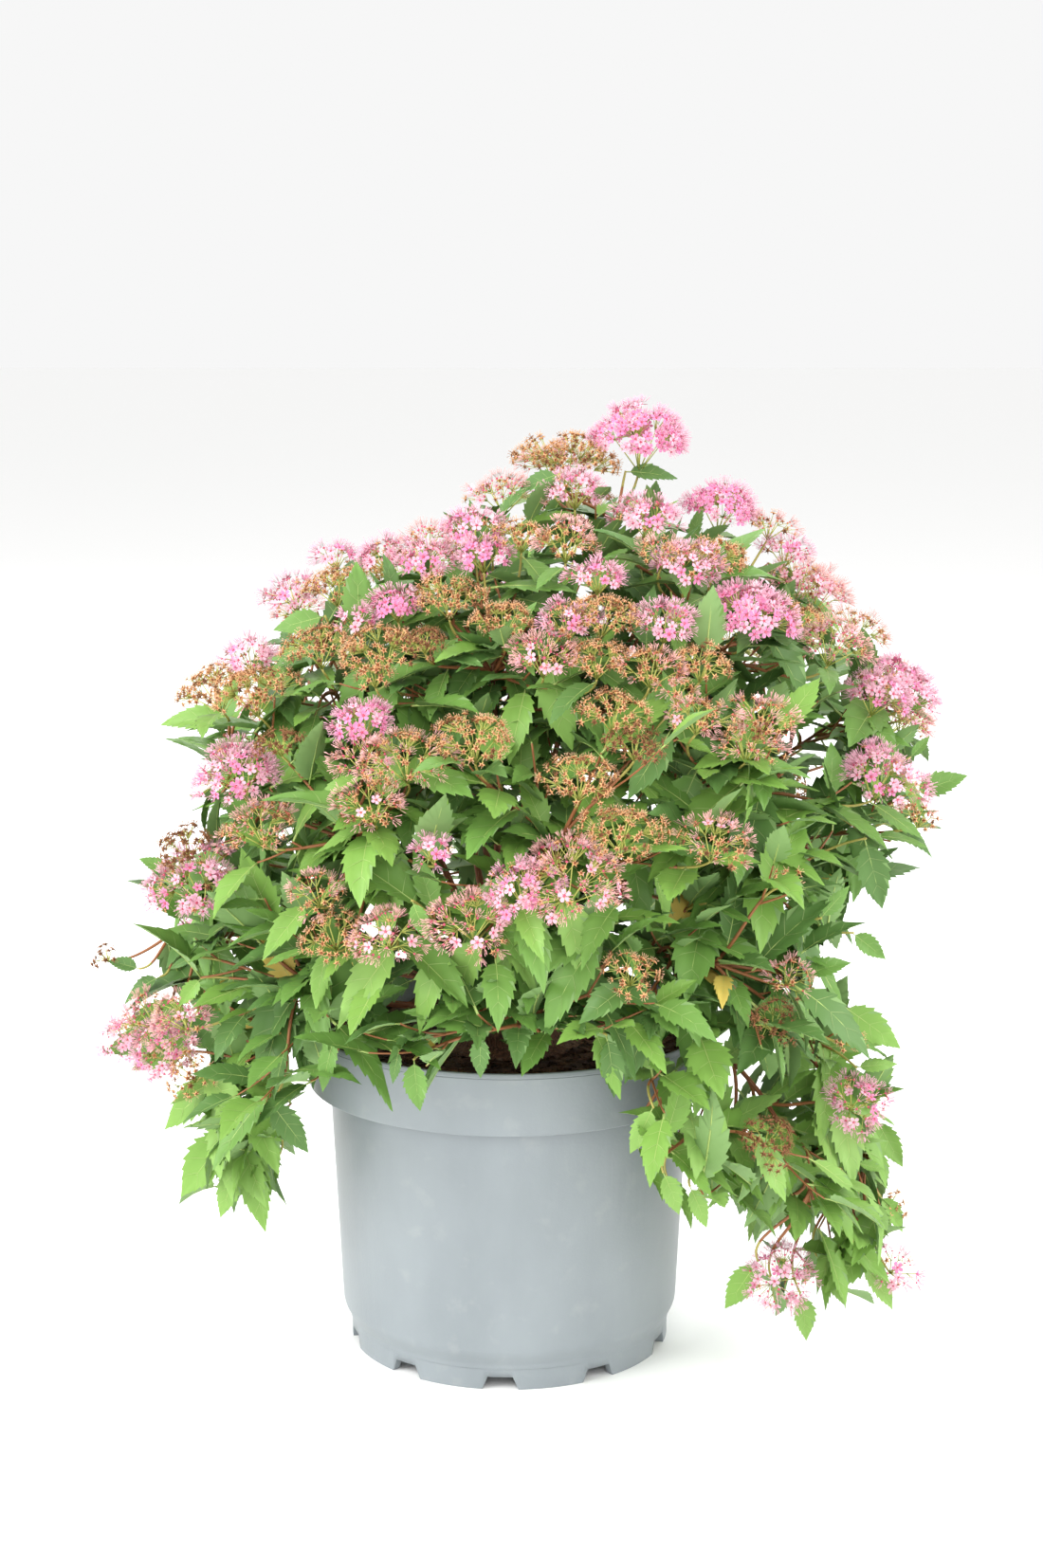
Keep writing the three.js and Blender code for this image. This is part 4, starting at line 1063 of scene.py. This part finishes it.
PROBES = [(0.1, 0), (0.45, -0.2), (0.45, 0.2), (0.75, 0), (0.98, 0)]  # along and aside, in the leaf's length
leaf_kept = np.all([clear(leaf_root + (leaf_axis * along + leaf_side * aside) * leaf_size[:, None])
                    for along, aside in PROBES], axis=0) | at_edge
tint_pick = TINT_BY_TWIG * chance(leaf_mass, leaf_twig, 12) + (1 - TINT_BY_TWIG) * luck(12)
leaf_tint = np.empty(len(leaf_twig), "U8")
for number, (_, tier, _) in enumerate(masses):
    mine = leaf_mass == number
    leaf_tint[mine] = np.array(tier["tints"])[(tint_pick[mine] * len(tier["tints"])).astype(int)]
low_enough = np.abs(leaf_point[:, 2] - YELLOW_HEIGHT[0]) < YELLOW_HEIGHT[1]
leaf_tint[is_old & low_enough & (leaf_share < YELLOW_SHARE)] = "yellow"

under_side = Finish("leaf_under_side", paint(122, 154, 94), 0.6, Specular_IOR_Level=0.25)
for tint, colour in TINTS.items():
    mine = leaf_kept & (leaf_tint == tint)
    shape = blade_points(between(FOLD, luck(14)[mine]), between(ARCH, luck(15)[mine]),
                         between(LEAF_WIDTH, luck(16)[mine]), luck(17)[mine])
    points = laid(shape, leaf_root[mine], leaf_axes[mine], leaf_size[mine])
    upper_side = Finish(f"leaf_{tint}", paint(*colour), 0.46, Specular_IOR_Level=0.3)
    veined = np.array(paint(*colour)) * (1 - VEIN_PALENESS) + VEIN_PALENESS * np.array(paint(*VEIN_GREEN))
    veins = Finish(f"veins_{tint}", tuple(veined), 0.5, Specular_IOR_Level=0.3)
    leaves = add_mesh(f"leaves_{tint}", points.reshape(-1, 3),
                      copied(blade_faces(), mine.sum(), sum(SHEET_SIZES)), [upper_side, under_side, veins])
    mount(leaves, "foliage", *foliage_nodes)

# The midribs: three-sided bars under the blades' folds, which thin towards the tip and arch as the blades do.
rib_green = Finish("leaf_rib", paint(166, 188, 106), 0.5)
arch = between(ARCH, luck(15)[leaf_kept])[:, None, None]
rib_turn = np.radians([90, 210, 330])
rib_shape = np.stack(np.broadcast_arrays(
    RIB_SHARES[:, None], RIB_RADII[:, None] * np.cos(rib_turn),
    RIB_RADII[:, None] * np.sin(rib_turn) - RIB_DEPTH - arch * np.maximum(RIB_SHARES, 0)[:, None] ** 2), -1)
rib_shape = rib_shape.reshape(leaf_kept.sum(), -1, 3)
ribs = laid(rib_shape, leaf_root[leaf_kept], leaf_axes[leaf_kept], leaf_size[leaf_kept])
rib_parts = [(faces[:, ::-1], kind) for faces, kind in tube_parts(leaf_kept.sum(), len(RIB_SHARES), 3)]
leaf_ribs = add_mesh("leaf_ribs", ribs.reshape(-1, 3), rib_parts, [rib_green])
mount(leaf_ribs, "foliage", *foliage_nodes)

# ---------------------------------------------------------------- Bark of the shoots
# The shoots' own skin, smooth and red-brown, and yellow-green on the youngest part. Every shoot and side twig
# ends at its outermost leaf, side twig or flower head, so none sticks out bare.

TWIG_STUB = 0.01  # the share of a twig that runs on past its outermost leaf
TWIG_SIDES = 5


def twig_rings(controls, first, last, radius, steps, sides):
    """Round twigs along curves, from one share of each to another, thinning evenly from root to tip."""
    shares = np.linspace(first + np.zeros(len(controls)), last, steps, axis=-1)
    return rings_along(controls, shares, between(radius, shares), sides)


def add_twigs(name, ring_sets, finish):
    """One piece from several sets of equal tubes."""
    points, parts, used = [], [], 0
    for rings in ring_sets:
        count, rows, sides, _ = rings.shape
        parts += [(faces + used, kind) for faces, kind in tube_parts(count, rows, sides)]
        points.append(rings.reshape(-1, 3))
        used += count * rows * sides
    mount(add_mesh(name, np.concatenate(points), parts, [finish]), "bark", *foliage_nodes)


outermost = np.zeros(len(twigs))
np.maximum.at(outermost, leaf_twig[leaf_kept], leaf_share[leaf_kept] + TWIG_STUB)
side_end = outermost[len(masses) + len(shoots):]
leafy = side_end > 0
shoot_end = np.where(shoot_head >= 0, 1, outermost[len(masses):len(masses) + len(shoots)])
np.maximum.at(shoot_end, side_shoot[leafy], side_share[leafy] + TWIG_STUB)
grown, young = shoot_end > 0, shoot_end > YOUNG_FROM

shoot_bark = Finish("shoot_bark", paint(150, 96, 60), 0.5, Specular_IOR_Level=0.35)
green_bark = Finish("green_bark", paint(168, 158, 84), 0.5, Specular_IOR_Level=0.35)
woody_end = np.minimum(shoot_end[grown], YOUNG_FROM)
woody_parts = twig_rings(shoots[grown], 0, woody_end, SHOOT_RADIUS, 11, TWIG_SIDES)
side_parts = twig_rings(side_twigs[leafy], 0, side_end[leafy], SIDE_RADIUS, 6, TWIG_SIDES)
green_parts = twig_rings(shoots[young], YOUNG_FROM, shoot_end[young], SHOOT_RADIUS, 7, TWIG_SIDES)
add_twigs("woody_shoots", [woody_parts, side_parts], shoot_bark)
add_twigs("green_shoots", [green_parts], green_bark)

# ---------------------------------------------------------------- Flower heads
# Domed heads at the ends of the shoots. Rays fan out from the shoot's tip, each splits into fine stalks, and
# each stalk holds one flower: five petals round a rosy cup with long stamens, or what is left of them.

FLOWER_GAP, FLOWER_RADIUS = 0.0035, 0.0027
OLD_GAP, DRIED_GAP = 0.0033, 0.0029  # from one spent or dried flower to the next
DRY_SHARE = 0.16  # of the flowers that are over, those that have dried dark
HEAD_ANGLE = np.radians(86)  # how far the dome's edge lies from its top, seen from its middle
RAYS, CLUMPING, UNEVEN = 8, 0.2, (0.86, 1.16)  # how far a ray draws its flowers in, and how long it is
RAY_RADIUS, STALK_RADIUS, STALK_SEAT = 0.00036, 0.0002, 0.25  # the seat as a share of the flower's radius
STALK_TAPER = 0.7
RAY_LENGTH = 0.55  # the share of the dome's radius at which rays split into stalks
CROWDING, FEWEST_FLOWERS = 4.2, 7  # flowers to a square of their gap, and how many the smallest head has
LOBES, SHIFT = 0.12, 0.0018  # how far the head's outline leaves a circle, and flowers their even places
ANTHER = 0.052  # the radius of a stamen's tip, as a share of the flower's
STAGES = {  # shares of flowers with petals, bright and over, and the stamens' and cups' colours of the rest
    "bright": (0.95, 0.75, 0.0, "rosy", "red"), "pink": (0.62, 0.3, 0.08, "rosy", "red"),
    "soft": (0.14, 0.0, 0.2, "salmon", "red"), "fading": (0.05, 0.0, 0.5, "salmon", "rust"),
    "spent": (0.0, 0.0, 1.0, "tan", "brown"), "dried": (0.0, 0.0, 0.0, "umber", "dark"),
}
COLOURS = {
    "petals_bright": (226, 136, 178), "petals_light": (230, 180, 196),
    "stamens_rosy": (230, 174, 192), "stamens_salmon": (234, 178, 174), "stamens_tan": (224, 180, 144),
    "stamens_umber": (160, 114, 78), "cups_red": (208, 92, 118), "cups_rust": (196, 108, 90),
    "cups_brown": (154, 92, 58), "cups_dark": (120, 80, 54),
    "sepals_tan": (222, 168, 118), "sepals_umber": (150, 104, 70),
}


def five(corners, faces):
    """Five copies of a shape round the flower's axis, a fifth of a turn apart."""
    turns = np.arange(5) * FULL_TURN / 5
    x, y, z = np.array(corners, float).T
    points = np.stack([*turned_by(turns, x, y), np.tile(z, (5, 1))], -1)
    return points.reshape(-1, 3), copied([(np.array(faces), 0)], 5, len(corners))[0][0]


def stamen_shape(count, spread, height):
    """Stamens: slivers that start at the cup and widen to a tip, spread by golden turns and shares."""
    n = np.arange(count)
    turn, lean = n * GOLDEN_ANGLE, spread * between([0.3, 1], (n * GOLDEN_SHARE) % 1)
    rise = height * between([0.75, 1.1], chance(110, n))
    tips, roots = round_axis(lean, turn, rise), round_axis(0.12, turn, 0.05)
    level, across = frame_of(unit(tips - roots))
    corner = np.array([0, 1, 2])[:, None] * FULL_TURN / 3
    ring = tips[:, None] + ANTHER * (level[:, None] * np.cos(corner) + across[:, None] * np.sin(corner))
    points = np.concatenate([roots[:, None], ring], 1)
    faces = np.array([[0, 1, 2], [0, 2, 3], [0, 3, 1], [1, 3, 2]])
    return points.reshape(-1, 3), copied([(faces, 0)], count, 4)[0][0]


# The parts of a flower, in its own radius: corners by their distances out, aside and up, then their faces.
PETALS = five([(0.1, 0, 0), (0.42, -0.27, 0.06), (0.8, -0.31, 0.14), (1.0, 0, 0.2), (0.8, 0.31, 0.14),
               (0.42, 0.27, 0.06)], [(0, 1, 2), (0, 2, 3), (0, 3, 4), (0, 4, 5)])
CUP = five([(0, 0, 0.16), (0.24, 0, 0.06), (0.24 * np.cos(FULL_TURN / 5), 0.24 * np.sin(FULL_TURN / 5), 0.06),
            (0, 0, -0.3)], [(0, 1, 2), (3, 2, 1)])
SEPALS = five([(0.14, -0.2, 0.04), (0.72, 0, -0.04), (0.14, 0.2, 0.04), (0.26, 0, 0.2)],
              [(0, 1, 3), (1, 2, 3), (0, 2, 1)])
LONG_STAMENS = stamen_shape(11, 1.15, 1.45)
SHORT_STAMENS = stamen_shape(5, 0.8, 0.7)


def on_dome(number, count, share=1.0):
    """Points spread evenly over a share of a head's dome by golden turns, and the way that each one faces."""
    width, stage, axis = heads[number]
    level, across = frame_of(axis)
    k = np.arange(count)
    up = 1 - (k + 0.5) / count * (1 - np.cos(HEAD_ANGLE))
    turn = k * GOLDEN_ANGLE + FULL_TURN * chance(number, 31)
    out = np.sqrt(1 - up**2) * (1 + LOBES * np.sin(3 * turn + number))
    flat = level * (out * np.cos(turn))[:, None] + across * (out * np.sin(turn))[:, None]
    rise = axis * (up * DOME[stage])[:, None]
    return head_base[number] + (flat / 2 + rise) * width * share, blend((flat, 0.8), (rise, 1.5))


head_base = head_tip + head_axis * RAY_SHARE * head_width[:, None]
flower_points, flower_axes, flower_head, flower_nodes = [], [], [], []
for number, (width, stage, _) in enumerate(heads):
    gap = {"spent": OLD_GAP, "dried": DRIED_GAP}.get(stage, FLOWER_GAP)
    count = max(FEWEST_FLOWERS, int(CROWDING * (DOME[stage] + 0.5) * (width / 2 / gap) ** 2))
    nodes, _ = on_dome(number, RAYS, RAY_LENGTH)
    tops, _ = on_dome(number, RAYS)
    places, ways = on_dome(number, count)
    wobble = np.stack([chance(number, np.arange(count), key) - 0.5 for key in (32, 33, 34)], -1)
    nearest = np.linalg.norm(places[:, None] - nodes, axis=2).argmin(1)
    lengths = between(UNEVEN, chance(number, nearest, 35))[:, None]
    base = head_base[number]
    places = base + (places + CLUMPING * (tops[nearest] - places) - base) * lengths
    flower_points.append(places + wobble * SHIFT)
    flower_axes.append(blend((ways, 1.0), (wobble, 0.6)))
    flower_head.append(np.full(count, number))
    flower_nodes.append(nodes[nearest])
flower_points, flower_axes = np.concatenate(flower_points), np.concatenate(flower_axes)
flower_head, flower_nodes = np.concatenate(flower_head), np.concatenate(flower_nodes)
flower_number = np.arange(len(flower_head))
flower_stage = np.array(head_stage)[flower_head]
spin = (FULL_TURN * chance(40, flower_number))[:, None]
level, across = frame_of(flower_axes)
flower_frames = np.stack([level * np.cos(spin) - across * np.sin(spin),
                          -across * np.cos(spin) - level * np.sin(spin), flower_axes], 1)
flower_size = FLOWER_RADIUS * between([0.8, 1.12], chance(41, flower_number))
petal_share, bright_share, over_share, own_stamens, own_cups = (
    np.array(values) for values in zip(*(STAGES[stage] for stage in flower_stage)))
is_over = chance(44, flower_number) < over_share
is_dry = is_over & (chance(45, flower_number) < DRY_SHARE)
stamen_tint = np.where(is_dry, "umber", np.where(is_over, "tan", own_stamens))
cup_tint = np.where(is_dry, "dark", np.where(is_over, "brown", own_cups))
has_petals = (chance(42, flower_number) < petal_share) & ~is_over
is_bright = chance(43, flower_number) < bright_share


def add_blossom(name, shape, mine):
    """One piece from a small shape, set on each of the chosen flowers."""
    corners, faces = shape
    points = laid(corners, flower_points[mine], flower_frames[mine], flower_size[mine])
    finish = Finish(f"blossom_{name}", paint(*COLOURS[name]), 0.6, Specular_IOR_Level=0.2)
    piece = add_mesh(name, points.reshape(-1, 3), copied([(faces, 0)], mine.sum(), len(corners)), [finish])
    mount(piece, "blossom", *foliage_nodes)


add_blossom("petals_bright", PETALS, has_petals & is_bright)
add_blossom("petals_light", PETALS, has_petals & ~is_bright)
for tint in ("rosy", "salmon"):
    add_blossom(f"stamens_{tint}", LONG_STAMENS, stamen_tint == tint)
for tint in ("tan", "umber"):
    add_blossom(f"stamens_{tint}", SHORT_STAMENS, stamen_tint == tint)
    add_blossom(f"sepals_{tint}", SEPALS, stamen_tint == tint)
for tint in ("red", "rust", "brown", "dark"):
    add_blossom(f"cups_{tint}", CUP, cup_tint == tint)


def stalks(starts, ends, radius):
    """Thin three-sided stalks from point to point."""
    thirds = (ends - starts) / 3
    lines = np.stack([starts, starts + thirds, ends - thirds, ends], 1)
    return twig_rings(lines, 0, 1, (radius, radius * STALK_TAPER), 2, 3)


stalk_green = Finish("stalk_green", paint(182, 186, 98), 0.55, Specular_IOR_Level=0.25)
ray_of = np.unique(np.stack([flower_head, *flower_nodes.T], 1), axis=0)
cup_foot = flower_points - flower_axes * (STALK_SEAT * flower_size)[:, None]
stalk_sets = [stalks(head_tip[ray_of[:, 0].astype(int)], ray_of[:, 1:], RAY_RADIUS),
              stalks(flower_nodes, cup_foot, STALK_RADIUS)]
add_twigs("flower_stalks", stalk_sets, stalk_green)
